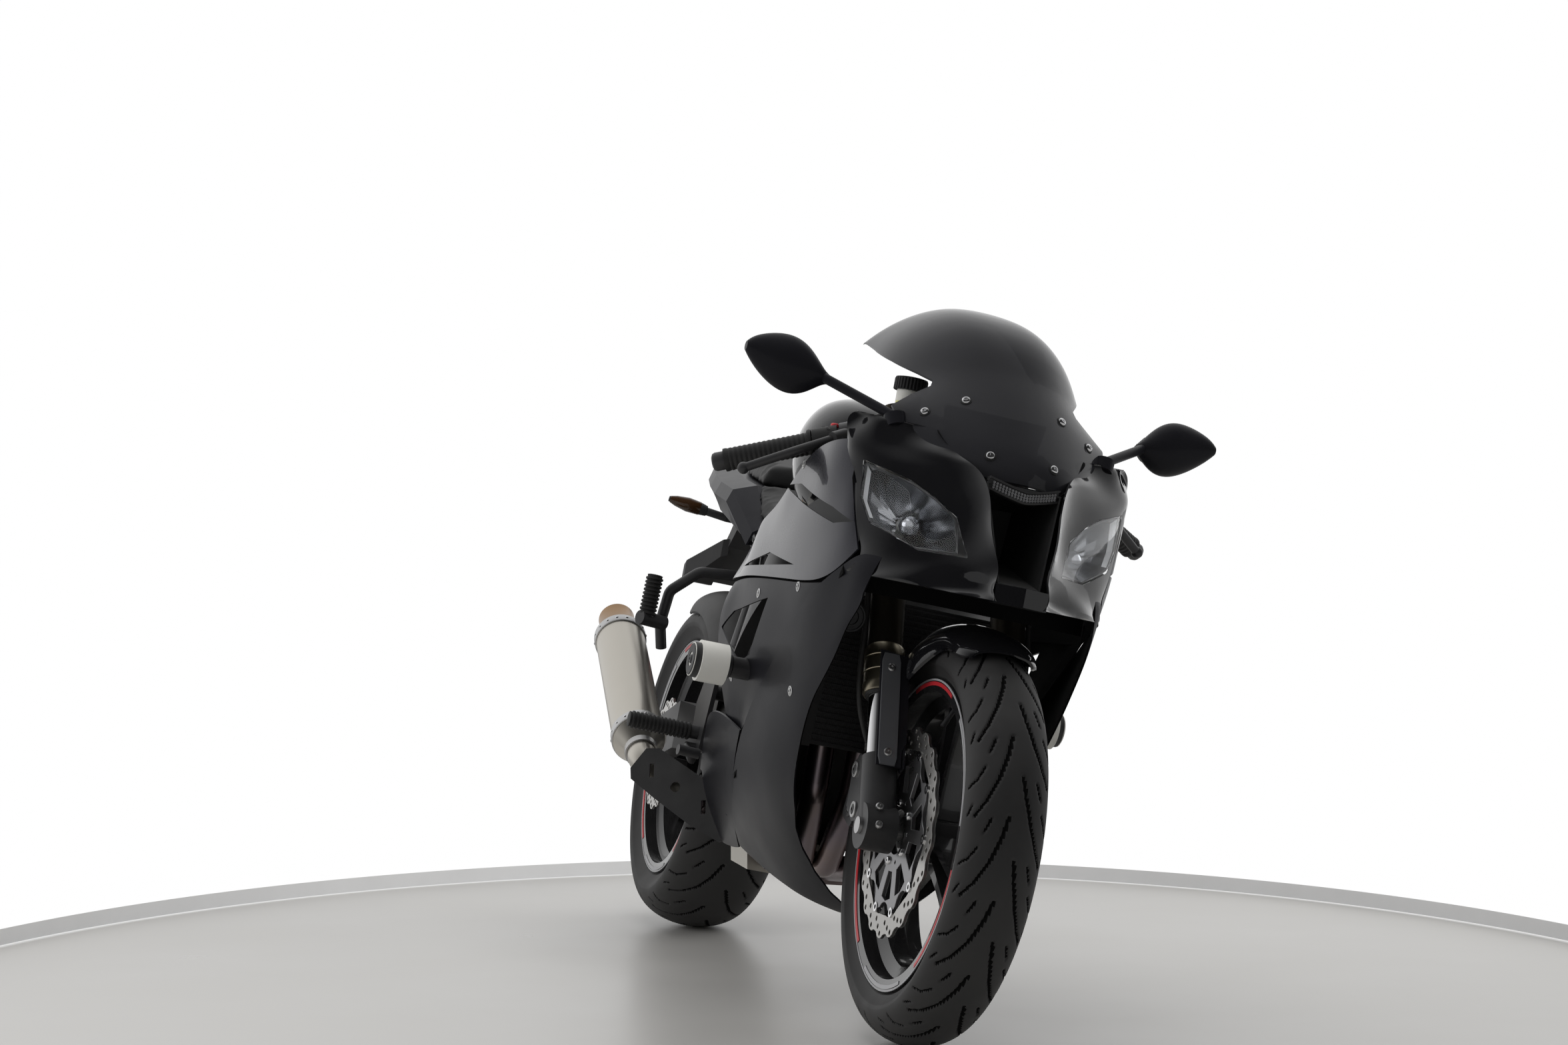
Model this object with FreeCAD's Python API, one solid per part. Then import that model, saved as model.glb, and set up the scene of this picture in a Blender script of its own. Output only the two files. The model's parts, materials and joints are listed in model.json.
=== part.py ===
import FreeCAD, Part
import math
import os

# Sport bike, full size, in millimetres.
# The bike is modelled upright: X to the rider's left, Y rearward from the front axle, Z up from the road.
# At the end every piece is laid over onto the side stand and the origin goes to the middle of the footprint.

V = FreeCAD.Vector

# Chassis geometry
WHEELBASE = 1425.0
RAKE = 25.0
TRAIL = 107.0
LEAN = 11.2
STEERING_LOCK = 27.0

# Wheels and tyres
FRONT_TYRE_R = 300.0
FRONT_TYRE_W = 120.0
REAR_TYRE_R = 320.0
REAR_TYRE_W = 190.0
RIM_SEAT_R = 217.0
RIM_LIP = 12.0
RIM_FLANGE_R = RIM_SEAT_R + RIM_LIP
RIM_WALL = 6.0
FRONT_RIM_W = 100.0
REAR_RIM_W = 164.0
SPOKES = 3
HUB_R = 38.0
TYRE_CROWN_SHARE = 0.58

# Brakes
DISC_R = 155.0
DISC_T = 5.0
DISC_X = 62.0
DISC_BAND = 34.0
CARRIER_R = 66.0
PETALS = 10
REAR_DISC_R = 110.0
REAR_DISC_X = -106.0
CALIPER_SLOT = 16.5

# Fork, in the fork's own frame: Z along the legs from the front axle, Y square to them and rearward
FORK_X = 98.0
FORK_INNER_R = 21.5
FORK_OUTER_R = 27.0
FORK_SEAL_R = 30.0
FORK_FOOT_R = 27.0
FORK_FOOT_TOP = 110.0
FORK_OUTER_LOW = 214.0
FORK_TOP = 690.0
LOWER_CLAMP = 497.0
LOWER_CLAMP_T = 30.0
UPPER_CLAMP = 668.0
UPPER_CLAMP_T = 16.0
STEM_R = 15.0
STEM_GAP = 0.3
HEAD_TUBE_R = 30.0
CLIP_ON_LOW = 636.0
CLIP_ON_T = 28.0
BAR_R = 11.0
GRIP_R = 16.5
FRONT_AXLE_R = 12.5
AXLE_GAP = 0.4

# Drive and rear end
REAR_AXLE_R = 14.0
PIVOT_Y = 880.0
PIVOT_Z = 400.0
PIVOT_R = 15.0
CHAIN_X = 112.0
CHAIN_PITCH = 15.875
FRONT_TEETH = 17
REAR_TEETH = 41
CHAIN_W = 18.0
CHAIN_H = 15.0
CHAIN_PLATE = 3.5
SPROCKET_T = 7.0
SPROCKET_Y = 795.0
SPROCKET_Z = 405.0
SPROCKET_FLOOR = 98.0
ARM_IN = 128.0
ARM_T = 34.0

# Body skins
SKIN = 3.2
SCREEN_T = 3.0
PANEL_GAP = 0.6
TYRE_ROOM = 7.0
POST_R = 8.0
POST_GAP = 0.2
FIT_GAP = 0.4

# Exhaust
MUFFLER_R = 47.0
MUFFLER_TIP_R = 33.0
MUFFLER_LOW = V(-250, 1000, 344)
MUFFLER_BAND = V(-250, 1352, 527)
MUFFLER_END = V(-250, 1412, 558)
HEADER_R = 21.0
LINK_R = 26.0
LINK_LOW = V(-96, 812, 229)
LINK_ROOM = 7.0
LINK_LEAD = 80.0
SHIELD_OUT = 36.0
SHIELD_FACING = (-0.552, -0.822, 0.14)
SHIELD_T = 3.0

# Side stand
STAND_PIVOT = V(138, 880, 270)
STAND_REACH = 96.0
STAND_LEAD = 36.0
STAND_FLARE = 0.12
STAND_TUCK = 0.06
STAND_EYE = 26.0
STAND_EAR_T = 6.0
STAND_EAR_INNER = 62.0
STAND_EAR_OUTER = 54.0
STAND_R = 11.0
FOOT_R = 24.0
FOOT_T = 8.0

# Paddock stand fittings
SPOOL_R = 4.0
SPOOL_DEPTH = 16.0
SPOOL_AHEAD = 62.0
STEM_BORE_R = 8.5
STEM_BORE_DEPTH = 36.0


# How closely the footprint is measured
BOX_TOLERANCE = 0.2
CROWN_STEPS = 120


# Plain shapes

def rod(a, b, radius):
    """Round bar from point a to point b."""
    run = b.sub(a)
    return Part.makeCylinder(radius, run.Length, a, run)


def tube(a, b, radius, bore):
    """Round tube from point a to point b."""
    return rod(a, b, radius).cut(rod(a, b, bore))


def block(x0, x1, y0, y1, z0, z1):
    """Box between two corners."""
    return Part.makeBox(x1 - x0, y1 - y0, z1 - z0, V(x0, y0, z0))


def outline(points, smooth=False):
    """Closed wire through points, straight or as one smooth loop."""
    if smooth:
        curve = Part.BSplineCurve()
        curve.interpolate(points, PeriodicFlag=True)
        return Part.Wire([curve.toShape()])
    return Part.makePolygon(points + [points[0]])


def side_prism(points, x0, x1, smooth=False):
    """Solid with a side-view outline of (y, z) points, from x0 to x1."""
    wire = outline([V(x0, y, z) for y, z in points], smooth)
    return Part.Face(wire).extrude(V(x1 - x0, 0, 0))


def front_prism(points, y0, y1, smooth=False):
    """Solid with a front-view outline of (x, z) points, from y0 to y1."""
    wire = outline([V(x, y0, z) for x, z in points], smooth)
    return Part.Face(wire).extrude(V(0, y1 - y0, 0))


def plan_prism(points, z0, z1, smooth=False):
    """Solid with a plan-view outline of (x, y) points, from z0 to z1."""
    wire = outline([V(x, y, z0) for x, y in points], smooth)
    return Part.Face(wire).extrude(V(0, 0, z1 - z0))


def loft(sections, smooth=True, ruled=False):
    """Solid through closed sections, each a list of points."""
    wires = [outline(points, smooth) for points in sections]
    return Part.makeLoft(wires, True, ruled)


def joined(shapes):
    """One solid out of shapes that overlap."""
    first = shapes[0]
    return first.fuse(shapes[1:]).removeSplitter() if len(shapes) > 1 else first


def mirrored(shape):
    """The same piece on the other side of the bike."""
    return shape.mirror(V(0, 0, 0), V(1, 0, 0))


def both_sides(shape):
    """A piece and its mirror image, as two solids."""
    return Part.makeCompound([shape, mirrored(shape)])


def bent_tube(points, radius, bend):
    """Tube along straight runs joined by tangent arcs of one bend radius."""
    edges = []
    start = points[0]
    for before, corner, after in zip(points, points[1:], points[2:]):
        into = corner.sub(before).normalize()
        out = after.sub(corner).normalize()
        turn = into.getAngle(out)
        reach = bend * math.tan(turn / 2)
        a = corner.sub(V(into).multiply(reach))
        b = corner.add(V(out).multiply(reach))
        inward = V(out).sub(into).normalize()
        centre = corner.add(V(inward).multiply(bend / math.cos(turn / 2)))
        middle = centre.sub(V(inward).multiply(bend))
        edges.append(Part.LineSegment(start, a).toShape())
        edges.append(Part.Arc(a, middle, b).toShape())
        start = b
    edges.append(Part.LineSegment(start, points[-1]).toShape())
    path = Part.Wire(edges)
    ring = Part.Wire([Part.makeCircle(radius, points[0], points[1].sub(points[0]))])
    return path.makePipeShell([ring], True, False)


def turned(start, end, profile):
    """Solid of revolution along the line from start to end, from (distance, radius) points on its outline."""
    wire = outline([V(radius, 0, along) for along, radius in profile])
    solid = Part.Face(wire).revolve(V(0, 0, 0), V(0, 0, 1), 360)
    solid.Placement = FreeCAD.Placement(start, FreeCAD.Rotation(V(0, 0, 1), end.sub(start)))
    return solid


def wheel_ring(profile):
    """Ring turned about the X axis from (x, radius) points."""
    wire = Part.makePolygon([V(x, 0, r) for x, r in profile + [profile[0]]])
    return Part.Face(wire).revolve(V(0, 0, 0), V(1, 0, 0), 360)


def smooth_between(points, at):
    """Value at one place on a smooth line through (place, value) points that never overshoots them."""
    places = [place for place, _ in points]
    values = [value for _, value in points]
    slopes = [(values[i + 1] - values[i]) / (places[i + 1] - places[i]) for i in range(len(points) - 1)]
    tangents = [slopes[0]]
    for before, after in zip(slopes, slopes[1:]):
        level = before * after <= 0
        tangents.append(0.0 if level else 2 * before * after / (before + after))
    tangents.append(slopes[-1])
    if at <= places[0]:
        return values[0] + tangents[0] * (at - places[0])
    if at >= places[-1]:
        return values[-1] + tangents[-1] * (at - places[-1])
    i = max(k for k in range(len(places) - 1) if places[k] <= at)
    width = places[i + 1] - places[i]
    t = (at - places[i]) / width
    return ((1 + 2 * t) * (1 - t) ** 2 * values[i] + t * (1 - t) ** 2 * width * tangents[i]
            + t * t * (3 - 2 * t) * values[i + 1] + t * t * (t - 1) * width * tangents[i + 1])


def half_width(skin, y, z):
    """Half width of the body at a place, from its level sections."""
    return smooth_between([(height, smooth_between(points, y)) for height, points in skin], z)


def spaced(points, count):
    """Evenly spaced (y, z) places along a smooth line through points."""
    curve = Part.BSplineCurve()
    curve.interpolate([V(0, y, z) for y, z in points])
    return [(p.y, p.z) for p in curve.toShape().discretize(count)]


def skin_patch(skin, first_edge, last_edge, inset=0.0, along=9, across=5):
    """Smooth right-hand face of the body between two edges drawn in side view."""
    grid = []
    for (y0, z0), (y1, z1) in zip(spaced(first_edge, along), spaced(last_edge, along)):
        row = []
        for k in range(across):
            share = k / (across - 1)
            y, z = y0 + (y1 - y0) * share, z0 + (z1 - z0) * share
            row.append(V(inset - half_width(skin, y, z), y, z))
        grid.append(row)
    surface = Part.BSplineSurface()
    surface.interpolate(grid)
    return surface.toShape()


def fork_frame(shape):
    """Carry a piece from the fork's own frame to the bike."""
    placed = shape.copy()
    leaned = FreeCAD.Placement(V(0, 0, FRONT_TYRE_R), FreeCAD.Rotation(V(1, 0, 0), -RAKE))
    placed.Placement = leaned.multiply(shape.Placement)
    return placed


def fork_point(x, y, along):
    """Point of the fork's own frame, on the bike."""
    turn = FreeCAD.Rotation(V(1, 0, 0), -RAKE)
    return turn.multVec(V(x, y, along)).add(V(0, 0, FRONT_TYRE_R))


def steering_offset():
    """Distance from the fork legs rearward to the steering axis."""
    rake = math.radians(RAKE)
    return (FRONT_TYRE_R * math.sin(rake) - TRAIL * math.cos(rake))


OFFSET = steering_offset()
FRONT_AXLE = V(0, 0, FRONT_TYRE_R)
REAR_AXLE = V(0, WHEELBASE, REAR_TYRE_R)


# Wheels

def tyre_profile(radius, width, rim_width):
    """Section of a tyre over its beads, as a face in the XZ plane: a crown arc and two shoulder arcs."""
    rise = (radius - RIM_FLANGE_R + 7) * TYRE_CROWN_SHARE
    half = width / 2
    bead = rim_width / 2 - 7

    def oval(angle):
        return V(half * math.sin(math.radians(angle)), 0, radius - rise + rise * math.cos(math.radians(angle)))

    stops = [oval(angle) for angle in (-90, -66, -42, -20, 0, 20, 42, 66, 90)]
    low, high = V(bead, 0, RIM_FLANGE_R), V(bead, 0, RIM_SEAT_R + 1)
    edges = [Part.Arc(*stops[i:i + 3]).toShape() for i in (0, 2, 4, 6)]
    corners = [stops[-1], low, high, V(-high.x, 0, high.z), V(-low.x, 0, low.z), stops[0]]
    edges += [Part.LineSegment(a, b).toShape() for a, b in zip(corners, corners[1:])]
    return Part.Face(Part.Wire(edges))


def tyre(radius, width, rim_width, axle):
    """Tyre seated on its rim."""
    ring = tyre_profile(radius, width, rim_width).revolve(V(0, 0, 0), V(1, 0, 0), 360)
    ring.translate(axle)
    return ring


def rim(rim_width, hub_half, spoke_half, axle, bore):
    """Cast wheel: barrel with flanges, three double spokes and a hub."""
    half = rim_width / 2
    seat = half - 7
    well_r = RIM_SEAT_R - 18
    barrel = wheel_ring([
        (-half, RIM_FLANGE_R), (-seat - 1, RIM_FLANGE_R), (-seat, RIM_SEAT_R), (-seat + 16, RIM_SEAT_R),
        (-seat + 26, well_r), (seat - 26, well_r), (seat - 16, RIM_SEAT_R), (seat, RIM_SEAT_R),
        (seat + 1, RIM_FLANGE_R), (half, RIM_FLANGE_R), (half - 2, RIM_SEAT_R - RIM_WALL),
        (seat - 18, RIM_SEAT_R - RIM_WALL - 1), (seat - 28, well_r - RIM_WALL),
        (-seat + 28, well_r - RIM_WALL), (-seat + 18, RIM_SEAT_R - RIM_WALL - 1),
        (-half + 2, RIM_SEAT_R - RIM_WALL),
    ])
    hub = rod(V(-hub_half, 0, 0), V(hub_half, 0, 0), HUB_R)
    pieces = [barrel, hub]
    spoke_root = HUB_R - 8
    spoke_tip = well_r - 2
    for k in range(SPOKES):
        for lean in (-1, 1):
            root = [V(x, y + lean * 16, spoke_root) for x, y in
                    ((-spoke_half, -9), (spoke_half, -9), (spoke_half, 9), (-spoke_half, 9))]
            mid = [V(x, y + lean * 20, spoke_tip * 0.55) for x, y in
                   ((-spoke_half * 0.8, -6), (spoke_half * 0.8, -6), (spoke_half * 0.8, 6), (-spoke_half * 0.8, 6))]
            tip = [V(x, y + lean * 34, spoke_tip) for x, y in
                   ((-spoke_half * 0.7, -10), (spoke_half * 0.7, -10), (spoke_half * 0.7, 10), (-spoke_half * 0.7, 10))]
            spoke = loft([root, mid, tip], smooth=False)
            spoke.rotate(V(0, 0, 0), V(1, 0, 0), 360.0 / SPOKES * k)
            pieces.append(spoke)
    wheel = joined(pieces).cut(rod(V(-hub_half - 1, 0, 0), V(hub_half + 1, 0, 0), bore))
    wheel.translate(axle)
    return wheel


def petal_disc(radius, thickness, band, carrier_r, petals):
    """Brake disc with a scalloped rim and a spider that bolts to the hub, about the X axis."""
    steps = petals * 4
    points = []
    for i in range(steps):
        angle = 2 * math.pi * i / steps
        r = radius - (0 if i % 4 < 2 else 5)
        points.append(V(-thickness / 2, r * math.sin(angle), r * math.cos(angle)))
    ring = Part.Face(outline(points)).extrude(V(thickness, 0, 0))
    inner = radius - band
    ring = ring.cut(rod(V(-thickness, 0, 0), V(thickness, 0, 0), inner))
    spider = [tube(V(-thickness / 2, 0, 0), V(thickness / 2, 0, 0), carrier_r, HUB_R - 6)]
    for k in range(petals):
        arm = block(-thickness / 2, thickness / 2, -7, 7, carrier_r - 6, inner + 5)
        arm.rotate(V(0, 0, 0), V(1, 0, 0), 360.0 / petals * k)
        spider.append(arm)
    return joined([ring] + spider)


def front_wheel_parts():
    """Front rim, tyre and pair of discs."""
    hub_half = DISC_X - DISC_T / 2
    front_rim = rim(FRONT_RIM_W, hub_half, 20.0, FRONT_AXLE, FRONT_AXLE_R + AXLE_GAP)
    front_tyre = tyre(FRONT_TYRE_R, FRONT_TYRE_W, FRONT_RIM_W, FRONT_AXLE)
    disc = petal_disc(DISC_R, DISC_T, DISC_BAND, CARRIER_R, PETALS)
    disc.translate(V(-DISC_X, 0, FRONT_TYRE_R))
    return {"front_rim": front_rim, "front_tyre": front_tyre, "front_discs": both_sides(disc)}


def chain_radius(teeth):
    """Pitch radius of a sprocket."""
    return CHAIN_PITCH / 2 / math.sin(math.pi / teeth)


def rear_wheel_parts():
    """Rear rim, tyre, disc and sprocket."""
    bore = REAR_AXLE_R + AXLE_GAP
    left_half = CHAIN_X - SPROCKET_T / 2
    right_half = -REAR_DISC_X - DISC_T / 2
    rear_rim = rim(REAR_RIM_W, min(left_half, right_half), 24.0, REAR_AXLE, bore)
    hub_extra = tube(V(min(left_half, right_half) - 4, 0, 0), V(left_half, 0, 0), HUB_R, bore)
    hub_extra.translate(REAR_AXLE)
    rear_rim = joined([rear_rim, hub_extra])
    rear_tyre = tyre(REAR_TYRE_R, REAR_TYRE_W, REAR_RIM_W, REAR_AXLE)
    disc = petal_disc(REAR_DISC_R, DISC_T, 28.0, 48.0, 8)
    disc.translate(REAR_AXLE.add(V(REAR_DISC_X, 0, 0)))
    tip_r = chain_radius(REAR_TEETH) - 5.6
    sprocket = rod(V(-SPROCKET_T / 2, 0, 0), V(SPROCKET_T / 2, 0, 0), tip_r)
    sprocket = sprocket.cut(rod(V(-SPROCKET_T, 0, 0), V(SPROCKET_T, 0, 0), HUB_R - 6))
    sprocket.translate(REAR_AXLE.add(V(CHAIN_X, 0, 0)))
    return {"rear_rim": rear_rim, "rear_tyre": rear_tyre, "rear_disc": disc, "rear_sprocket": sprocket}


# Steering

def fork_legs():
    """Upside-down fork: outer tubes, polished inner tubes and cast feet."""
    outer = joined([
        rod(V(-FORK_X, 0, FORK_OUTER_LOW + 22), V(-FORK_X, 0, FORK_TOP), FORK_OUTER_R),
        rod(V(-FORK_X, 0, FORK_OUTER_LOW), V(-FORK_X, 0, FORK_OUTER_LOW + 24), FORK_SEAL_R),
        rod(V(-FORK_X, 0, FORK_TOP), V(-FORK_X, 0, FORK_TOP + 10), FORK_OUTER_R - 7),
    ])
    inner = rod(V(-FORK_X, 0, FORK_FOOT_TOP), V(-FORK_X, 0, FORK_OUTER_LOW), FORK_INNER_R)
    half_w = FORK_FOOT_R
    foot = joined([
        rod(V(-FORK_X, 0, 0), V(-FORK_X, 0, FORK_FOOT_TOP), FORK_FOOT_R),
        rod(V(-FORK_X - half_w + 2, 0, 0), V(-FORK_X + half_w - 4, 0, 0), 34.0),
        caliper_lug(),
    ])
    foot = foot.cut(rod(V(-FORK_X - 40, 0, 0), V(-FORK_X + 40, 0, 0), FRONT_AXLE_R))
    return {
        "fork_outer_tubes": both_sides(fork_frame(outer)),
        "fork_inner_tubes": both_sides(fork_frame(inner)),
        "fork_feet": both_sides(fork_frame(foot)),
    }


CALIPER_ANGLE = 44.0
CALIPER_REACH = 142.0
CALIPER_LENGTH = 104.0
CALIPER_DEPTH = 56.0
CALIPER_OUT = 100.0
CALIPER_IN = 36.0


def caliper_lug():
    """Bracket that stands rearward from the fork foot and carries the caliper's outer face."""
    points = [(0, 18), (20, 18), (70, 34), (96, 68), (70, 128), (36, 128), (26, 104), (0, 100)]
    wire = outline([V(-CALIPER_OUT, y, z) for y, z in points])
    return Part.Face(wire).extrude(V(-14, 0, 0))


def front_calipers():
    """Four-piston radial calipers over the discs."""
    half = CALIPER_LENGTH / 2
    body = block(-CALIPER_OUT, -CALIPER_IN, -half, half, -CALIPER_DEPTH / 2, CALIPER_DEPTH / 2)
    body = body.makeFillet(12, [e for e in body.Edges if abs(e.tangentAt(0).x) > 0.9])
    slot_x = DISC_X
    slot = block(-slot_x - CALIPER_SLOT / 2, -slot_x + CALIPER_SLOT / 2, -half - 1, half + 1,
                 -CALIPER_DEPTH, CALIPER_DEPTH / 2 - 12)
    body = body.cut(slot)
    body.translate(V(0, 0, CALIPER_REACH))
    body.rotate(V(0, 0, 0), V(1, 0, 0), -(90 - CALIPER_ANGLE))
    return {"front_calipers": both_sides(fork_frame(body))}


def clamp_plate(low, thickness, leg_r, stem_y, stem_r):
    """Triple clamp: plate round both legs and the stem, in the fork's frame."""
    wide = FORK_X + leg_r + 9
    deep = leg_r + 9
    plate = plan_prism([
        (-wide, -deep * 0.5), (-wide + deep * 0.6, -deep), (-FORK_X + deep, -deep * 0.8), (-30, 0),
        (30, 0), (FORK_X - deep, -deep * 0.8), (wide - deep * 0.6, -deep), (wide, -deep * 0.5),
        (wide, deep * 0.6), (wide - deep * 0.6, deep), (45, stem_y + 30), (-45, stem_y + 30),
        (-wide + deep * 0.6, deep), (-wide, deep * 0.6),
    ], low, low + thickness)
    for side in (-1, 1):
        plate = plate.cut(rod(V(side * FORK_X, 0, low - 1), V(side * FORK_X, 0, low + thickness + 1), leg_r))
    return plate


def triple_clamps():
    """Upper and lower clamps joined by the steering stem."""
    lower = clamp_plate(LOWER_CLAMP, LOWER_CLAMP_T, FORK_OUTER_R, OFFSET, STEM_R)
    upper = clamp_plate(UPPER_CLAMP, UPPER_CLAMP_T, FORK_OUTER_R, OFFSET, STEM_R)
    stem = rod(V(0, OFFSET, LOWER_CLAMP + 1), V(0, OFFSET, UPPER_CLAMP + UPPER_CLAMP_T + 8), STEM_R)
    nut = rod(V(0, OFFSET, UPPER_CLAMP + UPPER_CLAMP_T - 1), V(0, OFFSET, UPPER_CLAMP + UPPER_CLAMP_T + 10), 19.0)
    pin = rod(V(0, OFFSET, LOWER_CLAMP - 1), V(0, OFFSET, LOWER_CLAMP + STEM_BORE_DEPTH), STEM_BORE_R)
    return {"triple_clamps": fork_frame(joined([lower, upper, stem, nut]).cut(pin))}


GRIP_IN = V(-226, 290, 858)
GRIP_OUT = V(-345, 339, 808)
LEVER_PIVOT = V(-196, 236, 872)
LEVER_TIP = V(-330, 270, 796)


def handlebars():
    """Clip-on bars: a ring round each fork leg, a bar and its grip."""
    ring = tube(V(-FORK_X, 0, CLIP_ON_LOW), V(-FORK_X, 0, CLIP_ON_LOW + CLIP_ON_T), FORK_OUTER_R + 9, FORK_OUTER_R)
    ring = fork_frame(ring)
    run = GRIP_OUT.sub(GRIP_IN).normalize()
    bar_start = GRIP_IN.sub(V(run).multiply(112))
    bar = rod(bar_start, GRIP_OUT, BAR_R)
    grip = rod(GRIP_IN, GRIP_OUT, GRIP_R)
    neck = loft([
        ring_points(bar_start, run, 15), ring_points(bar_start.add(V(run).multiply(28)), run, 13),
    ])
    leg = fork_frame(rod(V(-FORK_X, 0, CLIP_ON_LOW - 1), V(-FORK_X, 0, CLIP_ON_LOW + CLIP_ON_T + 40), FORK_OUTER_R))
    side = joined([ring, neck.cut(leg), bar.cut(leg), grip])
    switch = rod(GRIP_IN.sub(V(run).multiply(44)), GRIP_IN.sub(V(run).multiply(4)), 21)
    end = rod(GRIP_OUT, GRIP_OUT.add(V(run).multiply(18)), 13)
    return {"handlebars": both_sides(joined([side, switch, end]))}


def ring_points(centre, axis, radius, count=8):
    """Points of a circle square to an axis."""
    across = axis.cross(V(0, 0, 1)).normalize()
    up = across.cross(axis).normalize()
    points = []
    for i in range(count):
        angle = 2 * math.pi * i / count
        points.append(centre.add(V(across).multiply(radius * math.cos(angle)))
                      .add(V(up).multiply(radius * math.sin(angle))))
    return points


def hand_levers():
    """Brake and clutch levers with their pivots, and the brake fluid pot."""
    run = GRIP_OUT.sub(GRIP_IN).normalize()
    clamp_at = GRIP_IN.sub(V(run).multiply(62))
    clamp = tube(clamp_at, clamp_at.add(V(run).multiply(14)), 22, BAR_R)
    body = bent_tube([clamp_at.add(V(5, -12, 0)), LEVER_PIVOT.add(V(6, 4, 4)), LEVER_PIVOT.add(V(-14, -6, -6))], 10, 12)
    blade = bent_tube([LEVER_PIVOT, V(-262, 236, 836), LEVER_TIP], 7, 60)
    ball = Part.makeSphere(9.5, LEVER_TIP)
    lever = joined([clamp, body, blade, ball])
    pot = rod(V(-104, 226, 916), V(-104, 226, 966), 19)
    cap = rod(V(-104, 226, 964), V(-104, 226, 982), 25)
    link = rod(clamp_at.add(V(run).multiply(11)).add(V(0, 0, 16)), V(-104, 226, 936), 5)
    right = joined([lever, pot, cap, link])
    return {"hand_levers": Part.makeCompound([right, mirrored(lever)])}


def front_fender():
    """Mudguard over the front tyre, wrapped round it and reaching the fork legs."""
    sections = []
    for angle, half, rise, drop, flare, side in ((-26, 44, 312, 10, 3, 6), (-15, 60, 316, 18, 4, 16),
                                                 (-3, 66, 318, 28, 6, 32), (8, 69, 318, 32, 15, 60),
                                                 (18, 68, 318, 36, 1, 52), (36, 67, 318, 38, 0, 34),
                                                 (50, 62, 318, 30, 0, 12)):
        outer = [(-half - flare, rise - drop - side), (-half, rise - drop), (-half * 0.62, rise - drop * 0.3),
                 (0, rise), (half * 0.62, rise - drop * 0.3), (half, rise - drop), (half + flare, rise - drop - side)]
        inner = [(x * (1 - SKIN / half), r - SKIN * 0.8) for x, r in reversed(outer)]
        points = [V(x, r * math.sin(math.radians(angle)), r * math.cos(math.radians(angle)))
                  for x, r in outer + inner]
        sections.append(points)
    wires = [fender_wire(points) for points in sections]
    shell = Part.makeLoft(wires, True, False)
    shell.translate(FRONT_AXLE)
    return shell


def fender_wire(points):
    """Crescent section: a smooth outer and inner line joined at the lips."""
    outer = Part.BSplineCurve()
    half = len(points) // 2
    outer.interpolate(points[:half])
    inner = Part.BSplineCurve()
    inner.interpolate(points[half:])
    lip_a = Part.LineSegment(points[half - 1], points[half]).toShape()
    lip_b = Part.LineSegment(points[-1], points[0]).toShape()
    return Part.Wire([outer.toShape(), lip_a, inner.toShape(), lip_b])


def fork_guard():
    """Slanted plate in front of the inner tube, bolted to the foot and the fender."""
    plate = block(-FORK_X - 12, -FORK_X + 20, -38, -33, 84, 262)
    boss = rod(V(-FORK_X, -34, 98), V(-FORK_X, -FORK_FOOT_R - POST_GAP, 98), 8)
    return fork_frame(joined([plate, boss]))


def steering_parts():
    """Everything that turns with the bars."""
    parts = {}
    parts.update(fork_legs())
    parts.update(front_calipers())
    parts.update(triple_clamps())
    parts.update(handlebars())
    parts.update(hand_levers())
    parts["front_fender"] = front_fender()
    parts["fork_guards"] = both_sides(fork_guard())
    parts["front_axle"] = rod(V(-FORK_X - 30, 0, FRONT_TYRE_R), V(FORK_X + 30, 0, FRONT_TYRE_R), FRONT_AXLE_R)
    return parts


# Body skins: each section is a height, then (distance behind the front axle, half width)

BODY = [
    (150, [(262, 8), (300, 32), (350, 54), (430, 74), (530, 80), (740, 78), (900, 76)]),
    (180, [(225, 34), (265, 60), (320, 86), (400, 106), (510, 110), (720, 106), (900, 104)]),
    (230, [(180, 74), (225, 96), (290, 122), (380, 142), (500, 146), (700, 140), (900, 134)]),
    (300, [(130, 118), (180, 138), (250, 160), (350, 176), (490, 180), (680, 174), (900, 160)]),
    (380, [(90, 146), (150, 168), (230, 188), (340, 202), (480, 206), (650, 200), (900, 172)]),
    (460, [(50, 158), (110, 182), (200, 202), (320, 214), (460, 222), (620, 222), (900, 180)]),
    (540, [(18, 166), (80, 190), (180, 212), (300, 224), (440, 238), (590, 246), (900, 186)]),
    (620, [(-163, 40), (-70, 128), (0, 176), (60, 198), (160, 222), (300, 234), (440, 242), (580, 238), (900, 150)]),
    (690, [(-152, 38), (-110, 70), (-52, 128), (20, 188), (130, 226), (300, 237), (460, 236), (640, 208)]),
    (760, [(-122, 52), (-78, 82), (-30, 142), (40, 204), (140, 236), (300, 241), (460, 230), (640, 190)]),
    (820, [(-88, 64), (-50, 94), (-8, 148), (56, 214), (140, 240), (300, 240), (460, 222), (640, 184)]),
    (880, [(-34, 76), (0, 104), (34, 156), (86, 220), (160, 236), (300, 230), (460, 208), (640, 176)]),
    (935, [(10, 84), (36, 108), (66, 150), (106, 196), (170, 214), (300, 212), (460, 192), (640, 166)]),
]
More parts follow.
